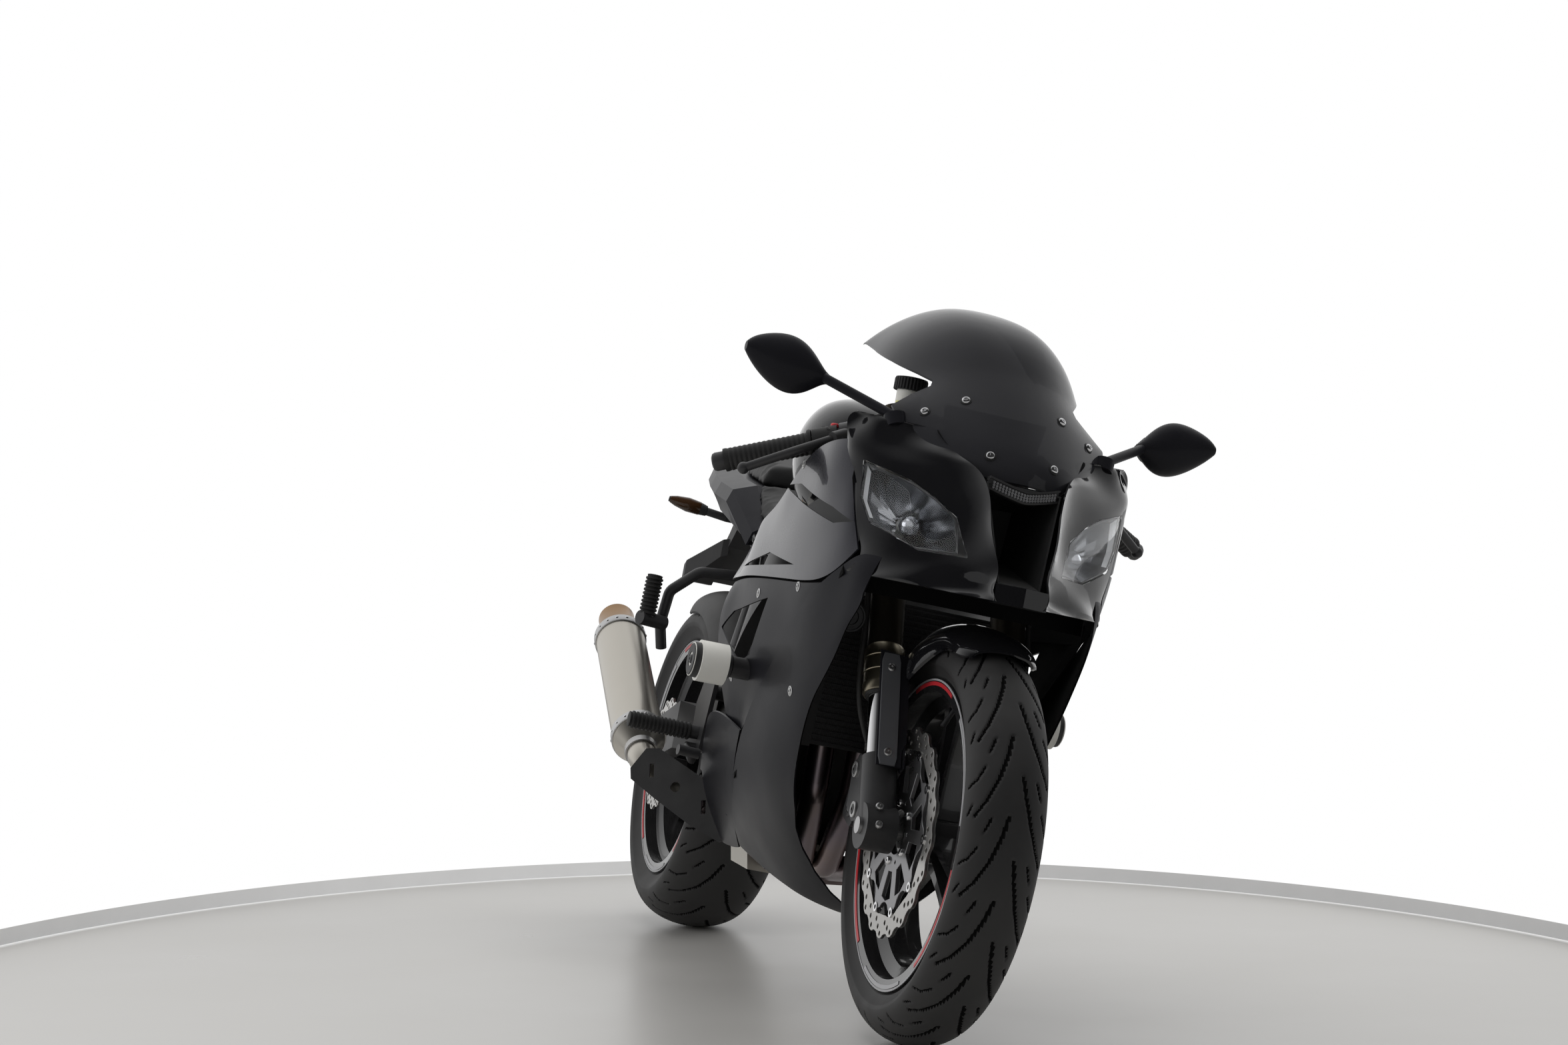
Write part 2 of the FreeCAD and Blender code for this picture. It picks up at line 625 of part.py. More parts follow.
SCREEN_SKIN = [
    ((-74, 826), [(0, 0, 0), (40, 6, -1), (70, 20, -2), (95, 40, -3)]),
    ((-60, 864), [(0, 0, 0), (50, 9, 0), (98, 40, 2), (138, 84, 4)]),
    ((-31, 902), [(0, 0, 0), (55, 12, 1), (112, 48, 3), (166, 96, 3)]),
    ((7, 948), [(0, 0, 0), (59, 13, -2), (115, 46, -8), (170, 92, -20)]),
    ((52, 999), [(0, 0, 0), (58, 12, -4), (113, 48, -18), (163, 104, -42)]),
    ((99, 1050), [(0, 0, 0), (58, 11, -3), (112, 46, -20), (158, 112, -56)]),
    ((162, 1088), [(0, 0, 0), (57, 10, -3), (109, 43, -23), (154, 112, -68)]),
    ((250, 1112), [(0, 0, 0), (55, 8, -5), (104, 35, -27), (150, 92, -75)]),
    ((345, 1118), [(0, 0, 0), (52, 5, -9), (99, 22, -34), (148, 48, -78)]),
]

# Panel edges in side view, as (distance behind the front axle, height)
CHEEK_FRONT = [(-161, 648), (-150, 690), (-120, 762), (-86, 824), (-50, 846), (10, 888)]
CHEEK_REAR = [(54, 660), (27, 690), (37, 726), (53, 798), (90, 853), (98, 900)]
SIDE_TOP = [(60, 797), (96, 854), (150, 850), (250, 824), (300, 799), (345, 774), (400, 759), (470, 744), (600, 716)]
SIDE_FOOT = [(33, 694), (60, 670), (110, 648), (200, 641), (330, 644), (470, 646), (640, 642)]
BLADE_REAR = [(-9, 686), (53, 672), (118, 638), (180, 602), (248, 551), (317, 499), (379, 452), (440, 400),
              (520, 330), (590, 262), (620, 210)]
BLADE_FRONT = [(10, 630), (69, 543), (105, 500), (134, 469), (185, 396), (222, 335), (247, 278), (258, 224),
               (262, 180), (280, 160), (330, 156)]
MID_TOP = [(112, 641), (200, 638), (330, 641), (470, 643), (634, 638)]
MID_FOOT = [(180, 598), (317, 495), (379, 448), (470, 400), (560, 345)]
BELLY_TOP = [(455, 399), (600, 420), (700, 414), (790, 374), (850, 310)]
BELLY_FOOT = [(638, 206), (680, 203), (730, 202), (770, 204), (832, 250)]
SCREEN_TRIM = [(-120, 806), (-44, 833), (20, 866), (66, 894), (82, 916), (84, 940), (78, 958), (86, 968), (120, 979),
               (190, 999), (270, 1019), (381, 1041), (420, 1180), (-120, 1180)]
HEADLAMP_FRONT = [(207, 826), (150, 806), (119, 787), (88, 760), (72, 703), (130, 704), (189, 734), (204, 770)]
VENT_SLIT = [(344, 790), (250, 790), (178, 772), (96, 752), (43, 732), (90, 728), (220, 758)]
VENT_TRIANGLE = [(545, 663), (376, 684), (232, 664)]
MID_OPENING = [(352, 612), (540, 588), (590, 560), (470, 506), (420, 520)]
NOSE_INWARD = (0.62, 0.7, -0.3)


def thickened(face, inward):
    """Skin thickness added to a face along one inward direction."""
    return face.extrude(V(inward[0] * SKIN, inward[1] * SKIN, inward[2] * SKIN))


def windscreen():
    """Double-curved screen, trimmed along its lower side edges."""
    rows = []
    for (y, z), half in SCREEN_SKIN:
        left = [V(x, y + dy, z + dz) for x, dy, dz in half]
        right = [V(-p.x, p.y, p.z) for p in reversed(left[1:])]
        curve = Part.BSplineCurve()
        curve.interpolate(right + left)
        rows.append(Part.Wire([curve.toShape()]))
    face = Part.makeLoft(rows, False, False).common(side_prism(SCREEN_TRIM, -400, 400))
    return face.extrude(V(0, SCREEN_T * 0.8, -SCREEN_T * 0.8)).Solids[0]


def nose_cowl():
    """Front cowl: two cheeks with lamp openings, joined by the chin and the brow."""
    lamp = front_prism([(-x, z) for x, z in HEADLAMP_FRONT], -200, 80)
    cheek = thickened(skin_patch(BODY, CHEEK_FRONT, CHEEK_REAR).cut(lamp), NOSE_INWARD)
    chin = plan_prism([(-40, -158), (0, -172), (40, -158), (40, -136), (-40, -136)], 646, 673)
    brow = plan_prism([(-82, -60), (-50, -80), (50, -80), (82, -60), (82, -40), (-82, -40)], 811, 822)
    fixed = joined([chin, brow]).cut(duct_body())
    return {"nose_cowl": joined([fixed, cheek, mirrored(cheek)])}


def headlamps():
    """Clear lenses that fill the cowl's lamp openings, set in by the panel gap."""
    centre_x = sum(x for x, z in HEADLAMP_FRONT) / len(HEADLAMP_FRONT)
    centre_z = sum(z for x, z in HEADLAMP_FRONT) / len(HEADLAMP_FRONT)
    shrunk = []
    for x, z in HEADLAMP_FRONT:
        share = 1 - PANEL_GAP / math.hypot(x - centre_x, z - centre_z)
        shrunk.append((-centre_x - (x - centre_x) * share, centre_z + (z - centre_z) * share))
    face = skin_patch(BODY, CHEEK_FRONT, CHEEK_REAR).common(front_prism(shrunk, -200, 80))
    return {"headlamp_lenses": both_sides(thickened(face, NOSE_INWARD))}


def steered(shape, angle):
    """A piece turned with the bars by an angle."""
    turned_piece = shape.copy()
    foot = fork_point(0, OFFSET, 0)
    turned_piece.rotate(foot, fork_point(0, OFFSET, 1).sub(foot), angle)
    return turned_piece


def tyre_room():
    """Space that the front tyre needs round itself."""
    half, reach = FRONT_TYRE_W / 2 + TYRE_ROOM, FRONT_TYRE_R + TYRE_ROOM
    room = wheel_ring([(-half, RIM_SEAT_R), (-half, reach - 48), (-half * 0.78, reach - 20), (-half * 0.42, reach - 5),
                       (0, reach), (half * 0.42, reach - 5), (half * 0.78, reach - 20), (half, reach - 48),
                       (half, RIM_SEAT_R)])
    room.translate(FRONT_AXLE)
    return room


def post(y, z, inner_x, radius=POST_R):
    """Mounting post from the back of a right-hand panel to what carries it."""
    return rod(V(-half_width(BODY, y, z) + SKIN * 0.8, y, z), V(-inner_x - POST_GAP, y, z), radius)


def side_panels():
    """Side panels: the upper one with its vents, the big blade, the middle one and the belly."""
    upper = skin_patch(BODY, SIDE_TOP, SIDE_FOOT)
    upper = upper.cut(side_prism(VENT_SLIT, -400, 0)).cut(side_prism(VENT_TRIANGLE, -400, 0))
    middle = skin_patch(BODY, MID_TOP, MID_FOOT, 6.0).cut(side_prism(MID_OPENING, -400, 0))
    _, y, z = BOBBIN
    hole = rod(V(-400, y, z), V(0, y, z), BOBBIN_BOSS_R + FIT_GAP)
    blade = thickened(skin_patch(BODY, BLADE_REAR, BLADE_FRONT, along=13), (0.8, 0.4, 0.45))
    for share in (1.0, 0.75, 0.5, 0.3):
        blade = blade.cut(steered(tyre_room(), STEERING_LOCK * share)).cut(steered(tyre_room(), -STEERING_LOCK * share))
    belly = thickened(skin_patch(BODY, BELLY_TOP, BELLY_FOOT), (0.8, 0.2, 0.5))
    right = {
        "side_panel": joined([thickened(upper, (0.9, 0.35, 0)), post(470, 735, 159)]),
        "blade_panel": joined([blade, post(294, 480, RADIATOR_HALF)]),
        "mid_panel": thickened(middle, (0.95, 0.2, 0.1)).cut(hole),
        "belly_panel": joined([belly.cut(blade).cut(link_room()),
                               post(650, 262, SUMP_HALF)]),
    }
    parts = {}
    for name, piece in right.items():
        parts[name + "_right"] = piece
        parts[name + "_left"] = mirrored(piece)
    return parts


def duct_body():
    """Outside of the intake duct."""
    front = [V(-58, -84, 820), V(58, -84, 820), V(32, -140, 672), V(-32, -140, 672)]
    back = [V(-50, 90, 800), V(50, 90, 800), V(44, 90, 720), V(-44, 90, 720)]
    return loft([front, back], smooth=False)


def intake_duct():
    """Air duct behind the mouth between the lamps."""
    inner_front = [V(-55, -85.2, 817), V(55, -85.2, 817), V(29.5, -141, 675), V(-29.5, -141, 675)]
    inner_back = [V(-47, 86, 797), V(47, 86, 797), V(41, 86, 723), V(-41, 86, 723)]
    return {"intake_duct": duct_body().cut(loft([inner_front, inner_back], smooth=False))}


def mirrors():
    """Mirror housings on stems, with the base plates on the cowl."""
    sections = []
    for x, y, z, deep, tall in ((254, 160, 944, 8, 8), (272, 166, 948, 20, 22), (305, 172, 954, 30, 42),
                                (340, 175, 960, 28, 38), (370, 172, 966, 18, 22), (386, 168, 968, 8, 7)):
        sections.append([V(-x, y + deep * math.cos(a), z + tall * math.sin(a))
                         for a in (math.pi * k / 4 for k in range(8))])
    shell = loft(sections)
    shell = shell.cut(block(-400, -240, 182, 260, 880, 1020))
    stem = rod(V(-168, 62, 899), V(-262, 156, 945), 7.5)
    base = rod(V(-165, 56, 884), V(-169, 63, 902), 16)
    return {"mirrors": both_sides(joined([shell, stem, base]))}


# Frame, engine and tank

def head_tube():
    """Steering head, between the two clamps."""
    low = fork_point(0, OFFSET, LOWER_CLAMP + LOWER_CLAMP_T + 3)
    return rod(low, fork_point(0, OFFSET, UPPER_CLAMP - 3), HEAD_TUBE_R)


def frame():
    """Twin-spar frame: steering head, two spars round the engine, the pivot plates and the stand's ears."""
    pieces = [head_tube()] + stand_ears()
    for side in (-1, 1):
        def ring(x, y, z, half_x, half_z, tilt):
            return [V(side * (x + sx * half_x), y + sz * tilt, z + sz * half_z)
                    for sx, sz in ((-1, -1), (1, -1), (1, 1), (-1, 1))]
        spar = loft([
            ring(22, 240, 826, 16, 40, 18), ring(72, 330, 786, 16, 50, 6), ring(146, 480, 730, 13, 52, -6),
            ring(166, 620, 650, 12, 56, -22), ring(152, 760, 560, 12, 66, -40), ring(134, 860, 470, 12, 70, -40),
        ], smooth=False)
        plate = side_prism([(800, 520), (880, 540), (930, 480), (930, 390), (900, 320), (850, 290), (820, 330)],
                           side * 122, side * 146)
        pieces += [spar, plate]
    cross_low = rod(V(-124, 880, 318), V(124, 880, 318), 14)
    cross_high = rod(V(-140, 905, 500), V(140, 905, 500), 16)
    body = joined(pieces + [cross_low, cross_high])
    stem_bore = rod(fork_point(0, OFFSET, LOWER_CLAMP), fork_point(0, OFFSET, UPPER_CLAMP + 20), STEM_R + STEM_GAP)
    pivot_bore = rod(V(-200, PIVOT_Y, PIVOT_Z), V(200, PIVOT_Y, PIVOT_Z), PIVOT_R)
    return {"frame": body.cut(stem_bore).cut(pivot_bore)}


def engine():
    """The engine as one plain block at its real size and place."""
    block_side = [(384, 600), (384, 440), (470, 284), (540, 238), (704, 238), (712, 296), (796, 306), (796, 500),
                  (700, 530), (640, 560), (580, 660), (430, 680)]
    core = side_prism(block_side, -ENGINE_HALF, ENGINE_HALF).cut(block(-200, 200, 300, 900, 0, SUMP_TOP))
    sump = side_prism(block_side, -SUMP_HALF, SUMP_HALF)
    pocket = block(SPROCKET_FLOOR, 200, SPROCKET_Y - 60, 900, SPROCKET_Z - 74, SPROCKET_Z + 66)
    core = joined([core, sump]).cut(pocket)
    cover_right = rod(V(-172, 640, 392), V(-ENGINE_HALF + 8, 640, 392), 80)
    cover_left = rod(V(ENGINE_HALF - 8, 560, 380), V(172, 560, 380), 70)
    return {"engine_block": joined([core, cover_right, cover_left])}


ENGINE_HALF = 130.0
SUMP_HALF = 96.0
SUMP_TOP = 300.0
BOBBIN = (-260, 432, 496)
BOBBIN_BOSS_R = 15.0
RADIATOR_HALF = 164.0
RADIATOR_TOP = (251, 640)
RADIATOR_FOOT = (296, 400)


def radiator():
    """Radiator ahead of the engine, with side tanks."""
    (y1, z1), (y0, z0) = RADIATOR_TOP, RADIATOR_FOOT
    core = side_prism([(y0, z0), (y1, z1), (y1 + 28, z1 + 8), (y0 + 28, z0 + 8)], -140, 140)
    tanks = []
    for side in (-1, 1):
        tanks.append(side_prism([(y0 - 4, z0 - 4), (y1 - 4, z1 - 2), (y1 + 32, z1 + 10), (y0 + 32, z0 + 6)],
                                side * 138, side * RADIATOR_HALF))
    return {"radiator": joined([core] + tanks)}


TANK_END = 776.0


def fuel_tank():
    """Tank between the rider's knees, with its high front and narrow waist."""
    stations = [(364, 56, 848, 886), (398, 138, 815, 930), (460, 184, 786, 958), (560, 182, 765, 966),
                (650, 140, 762, 944), (730, 96, 768, 890), (TANK_END, 80, 780, 842)]
    sections = []
    for y, half, low, high in stations:
        mid = (low + high) / 2
        sections.append([V(half * 0.72, y, low), V(half, y, mid), V(half * 0.8, y, high - 16), V(0, y, high),
                         V(-half * 0.8, y, high - 16), V(-half, y, mid), V(-half * 0.72, y, low), V(0, y, low)])
    return {"fuel_tank": loft(sections)}


TAIL_STATIONS = [(900, 150, 700, 760, 0.8), (1020, 172, 720, 838, 0.7), (1150, 166, 752, 858, 0.7),
                 (1280, 148, 792, 880, 0.7), (1400, 126, 826, 902, 0.7), (1500, 70, 856, 910, 0.6)]
TAIL_WALL = 4.0
RAIL_R = 13.0
REAR_CROSS = V(62, 1340, 812)


def tail_section(y, half, low, high, share, wall):
    """Ten points round the tail at one place, a wall's thickness in from its outside."""
    right = [(half * 0.6 - wall, low), (half * 0.9 - wall, low + (high - low) * 0.36), (half - wall, high - 40),
             (half * 0.95 - wall, high - 16 - wall * 0.6), (half * share - wall, high - wall)]
    return [V(x, y, z) for x, z in right] + [V(-x, y, z) for x, z in reversed(right)]


def tail_body():
    """Outside of the tail cowl."""
    return loft([tail_section(*station, 0) for station in TAIL_STATIONS], smooth=False, ruled=True)


def tail_cavity():
    """Room inside the tail cowl, open in front and below."""
    sections = []
    for y, half, low, high, share in TAIL_STATIONS:
        y = y - 1 if y == TAIL_STATIONS[0][0] else min(y, TAIL_STATIONS[-1][0] - TAIL_WALL)
        points = tail_section(y, half, low, high, share, TAIL_WALL)
        foot = points[0]
        sections.append([V(foot.x, y, low - 30)] + points + [V(-foot.x, y, low - 30)])
    return loft(sections, smooth=False, ruled=True)


def seats():
    """Rider's seat and the pad behind it, both shaped to what they rest on."""
    cowl = tail_body()
    rider = loft([[V(-h, y, z), V(h, y, z), V(h * 0.9, y, z + t), V(0, y, z + t + 8), V(-h * 0.9, y, z + t)]
                  for y, h, z, t in ((TANK_END + POST_GAP, 74, 764, 34), (860, 118, 764, 36), (950, 138, 772, 42),
                                     (1010, 134, 790, 56))], smooth=False)
    pillion = loft([[V(-h, y, z), V(h, y, z), V(h * 0.85, y, z + t), V(0, y, z + t + 8), V(-h * 0.85, y, z + t)]
                    for y, h, z, t in ((1040, 114, 830, 46), (1140, 110, 846, 50), (1260, 94, 868, 50),
                                       (1330, 74, 884, 40))], smooth=False)
    return {"rider_seat": rider.cut(cowl), "pillion_seat": pillion.cut(cowl)}


def tail():
    """Tail cowl, its lamp and the bracket under it."""
    cowl = tail_body().cut(tail_cavity())
    end = TAIL_STATIONS[-1][0]
    lamp = loft([[V(-42, end, 862), V(42, end, 862), V(40, end, 900), V(-40, end, 900)],
                 [V(-36, end + 20, 872), V(36, end + 20, 872), V(34, end + 20, 898), V(-34, end + 20, 898)]],
                smooth=False)
    bracket = side_prism([(1340, 802), (1340, 822), (1440, 836), (1500, 775), (1606, 690), (1600, 676), (1490, 745),
                          (1420, 800)], -40, 40)
    bracket = bracket.cut(rod(V(-REAR_CROSS.x, REAR_CROSS.y, REAR_CROSS.z), REAR_CROSS, RAIL_R - 1))
    wings = []
    for side in (-1, 1):
        wings.append(side_prism([(1480, 770), (1606, 700), (1606, 668), (1580, 668), (1480, 738)],
                                side * 38, side * 96).common(
            plan_prism([(0, 1470), (side * 50, 1500), (side * 96, 1590), (side * 96, 1620), (0, 1620)], 600, 800)))
    indicators = []
    for side in (-1, 1):
        indicators.append(rod(V(side * 60, 1470, 800), V(side * 104, 1480, 806), 8))
        indicators.append(loft([ring_points(V(side * 100, 1480, 806), V(side, 0.1, 0.1), 10),
                                ring_points(V(side * 140, 1484, 812), V(side, 0.1, 0.1), 13),
                                ring_points(V(side * 178, 1488, 816), V(side, 0.1, 0.1), 5)]))
    stalk_bar = rod(V(-62, 1470, 800), V(62, 1470, 800), 8)
    return {
        "tail_cowl": cowl,
        "tail_lamp": lamp,
        "plate_bracket": joined([bracket] + wings + [stalk_bar] + indicators),
    }


def subframe():
    """Rear subframe rails under the seat, with the risers that carry the tail cowl."""
    rails = []
    for side in (-1, 1):
        rails.append(bent_tube([V(side * 128, 800, 600), V(side * 72, 915, 694), V(side * 62, 1350, 815)], RAIL_R, 120))
        rails.append(bent_tube([V(side * 134, 905, 530), V(side * 98, 1000, 620), V(side * 66, 1160, 762)], 10, 120))
        for y, x, z in ((1040, 69, 729), (1300, 64, 800)):
            rails.append(rod(V(side * x, y, z), V(side * x, y, z + 130), 9).common(tail_cavity()))
    rails.append(rod(V(-70, 1090, 744), V(70, 1090, 744), 12))
    rails.append(rod(V(-REAR_CROSS.x, REAR_CROSS.y, REAR_CROSS.z), REAR_CROSS, RAIL_R - 1))
    return {"subframe": joined(rails)}


# Rear end

def spool_point(side):
    """Face of the swingarm where a paddock spool screws in."""
    return V(side * (ARM_IN + ARM_T - 3), REAR_AXLE.y - SPOOL_AHEAD, REAR_AXLE.z + 6)


def swingarm():
    """Swingarm: pivot tube, two arms and the brace over the tyre's front."""
    pieces = [rod(V(-116, PIVOT_Y, PIVOT_Z), V(116, PIVOT_Y, PIVOT_Z), 30)]
    front_y = REAR_AXLE.y - REAR_TYRE_R
    for side in (-1, 1):
        def ring(x, y, z, half_x, half_z):
            return [V(side * (x + sx * half_x), y, z + sz * half_z) for sx, sz in ((-1, -1), (1, -1), (1, 1), (-1, 1))]
        mid_x = ARM_IN + ARM_T / 2
        arm = loft([
            ring(82, PIVOT_Y, PIVOT_Z, 28, 32), ring(98, front_y - 110, PIVOT_Z - 20, 26, 38),
            ring(mid_x - 2, front_y + 20, PIVOT_Z - 16, 17, 44),
            ring(mid_x, REAR_AXLE.y - 120, REAR_AXLE.z + 24, 15, 40),
            ring(mid_x, REAR_AXLE.y + 44, REAR_AXLE.z, 14, 30),
        ], smooth=False, ruled=True)
        pieces.append(arm)
    brace = block(-92, 92, PIVOT_Y + 18, front_y - 112, PIVOT_Z - 29, PIVOT_Z + 31)
    body = pieces[0].fuse(pieces[1:] + [brace])
    body = body.cut(rod(V(-200, PIVOT_Y, PIVOT_Z), V(200, PIVOT_Y, PIVOT_Z), PIVOT_R))
    body = body.cut(rod(V(-200, REAR_AXLE.y, REAR_AXLE.z), V(200, REAR_AXLE.y, REAR_AXLE.z), REAR_AXLE_R))
    for side in (-1, 1):
        face = spool_point(side)
        body = body.cut(rod(face.add(V(side * 20, 0, 0)), face.sub(V(side * SPOOL_DEPTH, 0, 0)), SPOOL_R))
    return {"swingarm": body}


def rear_axle():
    """Rear axle with its nuts, and the swingarm pivot bolt."""
    end = ARM_IN + ARM_T
    axle = joined([rod(V(-end - 12, REAR_AXLE.y, REAR_AXLE.z), V(end + 12, REAR_AXLE.y, REAR_AXLE.z), REAR_AXLE_R),
                   rod(V(-end - 14, REAR_AXLE.y, REAR_AXLE.z), V(-end, REAR_AXLE.y, REAR_AXLE.z), 22),
                   rod(V(end, REAR_AXLE.y, REAR_AXLE.z), V(end + 14, REAR_AXLE.y, REAR_AXLE.z), 22)])
    bolt = rod(V(-150, PIVOT_Y, PIVOT_Z), V(150, PIVOT_Y, PIVOT_Z), PIVOT_R)
    return {"rear_axle": axle, "pivot_bolt": bolt}


def chain_path(offset):
    """Outline round both sprockets at an offset from the pitch line, as a face in side view."""
    r1 = chain_radius(FRONT_TEETH) + offset
    r2 = chain_radius(REAR_TEETH) + offset
    a = V(CHAIN_X, SPROCKET_Y, SPROCKET_Z)
    b = V(CHAIN_X, REAR_AXLE.y, REAR_AXLE.z)
    run = b.sub(a)
    slope = math.atan2(run.z, run.y)
    opening = math.acos((r1 - r2) / run.Length)
    def at(centre, radius, angle):
        return centre.add(V(0, radius * math.cos(angle), radius * math.sin(angle)))
    up, down = slope + opening, slope - opening
    edges = [
        Part.LineSegment(at(a, r1, up), at(b, r2, up)).toShape(),
        Part.Arc(at(b, r2, up), at(b, r2, slope), at(b, r2, down)).toShape(),
        Part.LineSegment(at(b, r2, down), at(a, r1, down)).toShape(),
        Part.Arc(at(a, r1, down), at(a, r1, slope + math.pi), at(a, r1, up)).toShape(),
    ]
    return Part.Face(Part.Wire(edges))


def chain():
    """Drive chain as one loop: side plates either side of the rollers."""
    plates = chain_path(CHAIN_H / 2).cut(chain_path(-CHAIN_H / 2))
    rollers = chain_path(4.6).cut(chain_path(-4.6))
    inner_w = CHAIN_W - 2 * CHAIN_PLATE
    pieces = [rollers.extrude(V(inner_w, 0, 0))]
    pieces[0].translate(V(-inner_w / 2, 0, 0))
    for x in (-CHAIN_W / 2, CHAIN_W / 2 - CHAIN_PLATE):
        plate = plates.extrude(V(CHAIN_PLATE, 0, 0))
        plate.translate(V(x, 0, 0))
        pieces.append(plate)
    return {"chain": joined(pieces)}


def front_sprocket():
    """Front sprocket and its cover on the left of the engine."""
    inner, outer = CHAIN_X + CHAIN_W / 2 + 2, CHAIN_X + CHAIN_W / 2 + 16
    cover = side_prism([(738, 348), (794, 338), (797, 400), (794, 468), (738, 460)], inner, outer)
    half = V(SPROCKET_T / 2, 0, 0)
    centre = V(CHAIN_X, SPROCKET_Y, SPROCKET_Z)
    wheel = rod(centre.sub(half), centre.add(half), chain_radius(FRONT_TEETH) - 5.6)
    shaft = rod(V(SPROCKET_FLOOR + POST_GAP, SPROCKET_Y, SPROCKET_Z), V(inner + 1, SPROCKET_Y, SPROCKET_Z), 14)
    cover = joined([cover, wheel, shaft])
    return {"sprocket_cover": cover}


def rear_caliper():
    """Rear caliper on its bracket, right side."""
    x0 = REAR_DISC_X
    body = block(x0 - 18, x0 + 20, 1290, 1350, 262, 318)
    body = body.cut(block(x0 - CALIPER_SLOT / 2, x0 + CALIPER_SLOT / 2, 1304, 1351, 261, 319))
    lug = block(-ARM_IN - 2 + POST_GAP, x0 - 14, 1312, 1346, 298, 318)
    return {"rear_caliper": joined([body, lug])}


def rear_hugger():
    """Inner mudguard over the front of the rear tyre."""
    sections = []
    gap_r = REAR_TYRE_R + 14
    for angle in (-78, -50, -20, 8):
        sections.append((angle, 98))
    wires = []
    for angle, half in sections:
        a = math.radians(angle)
        outer = [(-half, gap_r - 50), (-half * 0.8, gap_r - 14), (0, gap_r + 4), (half * 0.8, gap_r - 14),
                 (half, gap_r - 50)]
        inner = [(x * 0.97, r - SKIN) for x, r in reversed(outer)]
        wires.append(fender_wire([V(x, r * math.sin(a), r * math.cos(a)) for x, r in outer + inner]))
    shell = Part.makeLoft(wires, True, False)
    shell.translate(REAR_AXLE)
    return {"rear_hugger": shell}


def shock():
    """Rear shock lying over the swingarm."""
    body = rod(V(0, 916, 490), V(0, 1000, 500), 20)
    spring = rod(V(0, 934, 491), V(0, 988, 498), 32)
    return {"shock_absorber": joined([body, spring])}


# Exhaust

def exhaust():
    """Header pipes, chamber under the engine, link pipe, silencer and its shield."""
    pipes = []
    for x, end in ((-108, -66), (-38, -22), (38, 22), (108, 66)):
        pipes.append(bent_tube([V(x, 384 - POST_GAP, 552), V(x, 342, 552), V(x * 0.9, 358, 330),
                                V(end, 470, 212), V(end, 640, 196)], HEADER_R, 30))
    collector = loft([
        [V(x, 600, z) for x, z in ((-88, 180), (0, 170), (88, 180), (88, 212), (0, 222), (-88, 212))],
        [V(x, 718, z) for x, z in ((-54, 176), (-14, 170), (26, 176), (26, 214), (-14, 220), (-54, 214))],
    ], smooth=False)
    headers = collector.fuse(pipes)
    section = ((-84, 168), (66, 168), (80, 210), (66, 270), (-100, 284), (-108, 262), (-104, 238), (-92, 208))
    front = [V(x, 718 + POST_GAP, z) for x, z in section]
    rear = [V(x, 838, z + 4) for x, z in section]
    chamber = loft([front, rear], smooth=False)
    link = bent_tube([LINK_LOW, link_bend(), MUFFLER_LOW], LINK_R, 60)
    can_end = MUFFLER_BAND.sub(MUFFLER_LOW).Length
    tip_end = MUFFLER_END.sub(MUFFLER_LOW).Length
    muffler = turned(MUFFLER_LOW, MUFFLER_END, [
        (-30, LINK_R + FIT_GAP), (-30, LINK_R + 3), (0, MUFFLER_R), (4, MUFFLER_R), (4, MUFFLER_R + 1.5),
        (24, MUFFLER_R + 1.5), (24, MUFFLER_R), (can_end - 24, MUFFLER_R), (can_end - 24, MUFFLER_R + 1.5),
        (can_end - 4, MUFFLER_R + 1.5), (can_end, MUFFLER_R - 3), (can_end + 4, MUFFLER_TIP_R),
        (tip_end, MUFFLER_TIP_R), (tip_end, MUFFLER_TIP_R - 3), (can_end - 60, MUFFLER_TIP_R - 3),
        (can_end - 60, 0), (0, 0), (0, LINK_R + FIT_GAP),
    ])
    return {"exhaust_headers": headers, "exhaust_chamber": joined([chamber, link]), "muffler": muffler}


def muffler_axis():
    """Direction from the front of the muffler to its end."""
    return MUFFLER_END.sub(MUFFLER_LOW).normalize()


def link_bend():
    """Corner of the link pipe, just ahead of the muffler."""
    return MUFFLER_LOW.sub(muffler_axis().multiply(LINK_LEAD))


def shield_place():
    """Place of the shield: along the link pipe, up across it, and out from its face."""
    along = link_bend().sub(LINK_LOW).normalize()
    out = V(*SHIELD_FACING)
    out = out.sub(V(along).multiply(out.dot(along))).normalize()
    up = out.cross(along)
    foot = LINK_LOW.add(V(out).multiply(SHIELD_OUT))
    return FreeCAD.Matrix(along.x, up.x, out.x, foot.x, along.y, up.y, out.y, foot.y,
                          along.z, up.z, out.z, foot.z, 0, 0, 0, 1)


def link_room():
    """Space that the link pipe and its shield need in the belly panel."""
    room = block(-60, 280, -LINK_R - 24, LINK_R + 24, -SHIELD_OUT - LINK_R - LINK_ROOM, SHIELD_T + LINK_ROOM)
    return room.transformGeometry(shield_place())


def muffler_shield():
    """Black shield outside the link pipe, cut from plate, with its round hole and two slots."""
    shape = [(-16, 18), (-6, 34), (60, 39), (140, 37), (196, 33), (208, 18), (204, -26), (184, -39), (96, -40),
             (30, -34), (-8, -14)]
    plate = Part.Face(outline([V(s, w, 0) for s, w in shape])).extrude(V(0, 0, SHIELD_T))
    plate = plate.cut(rod(V(118, 0, -1), V(118, 0, SHIELD_T + 1), 9))
    for s in (54, 172):
        slot = block(s - 12, s + 12, -4, 4, -1, SHIELD_T + 1)
        slot.rotate(V(s, 0, 0), V(0, 0, 1), -55)
        plate = plate.cut(slot)
    stays = [rod(V(s, 0, -SHIELD_OUT + LINK_R + POST_GAP), V(s, 0, 1), 5) for s in (84, 146)]
    return {"muffler_shield": joined([plate] + stays).transformGeometry(shield_place())}


# Controls and fittings on the chassis

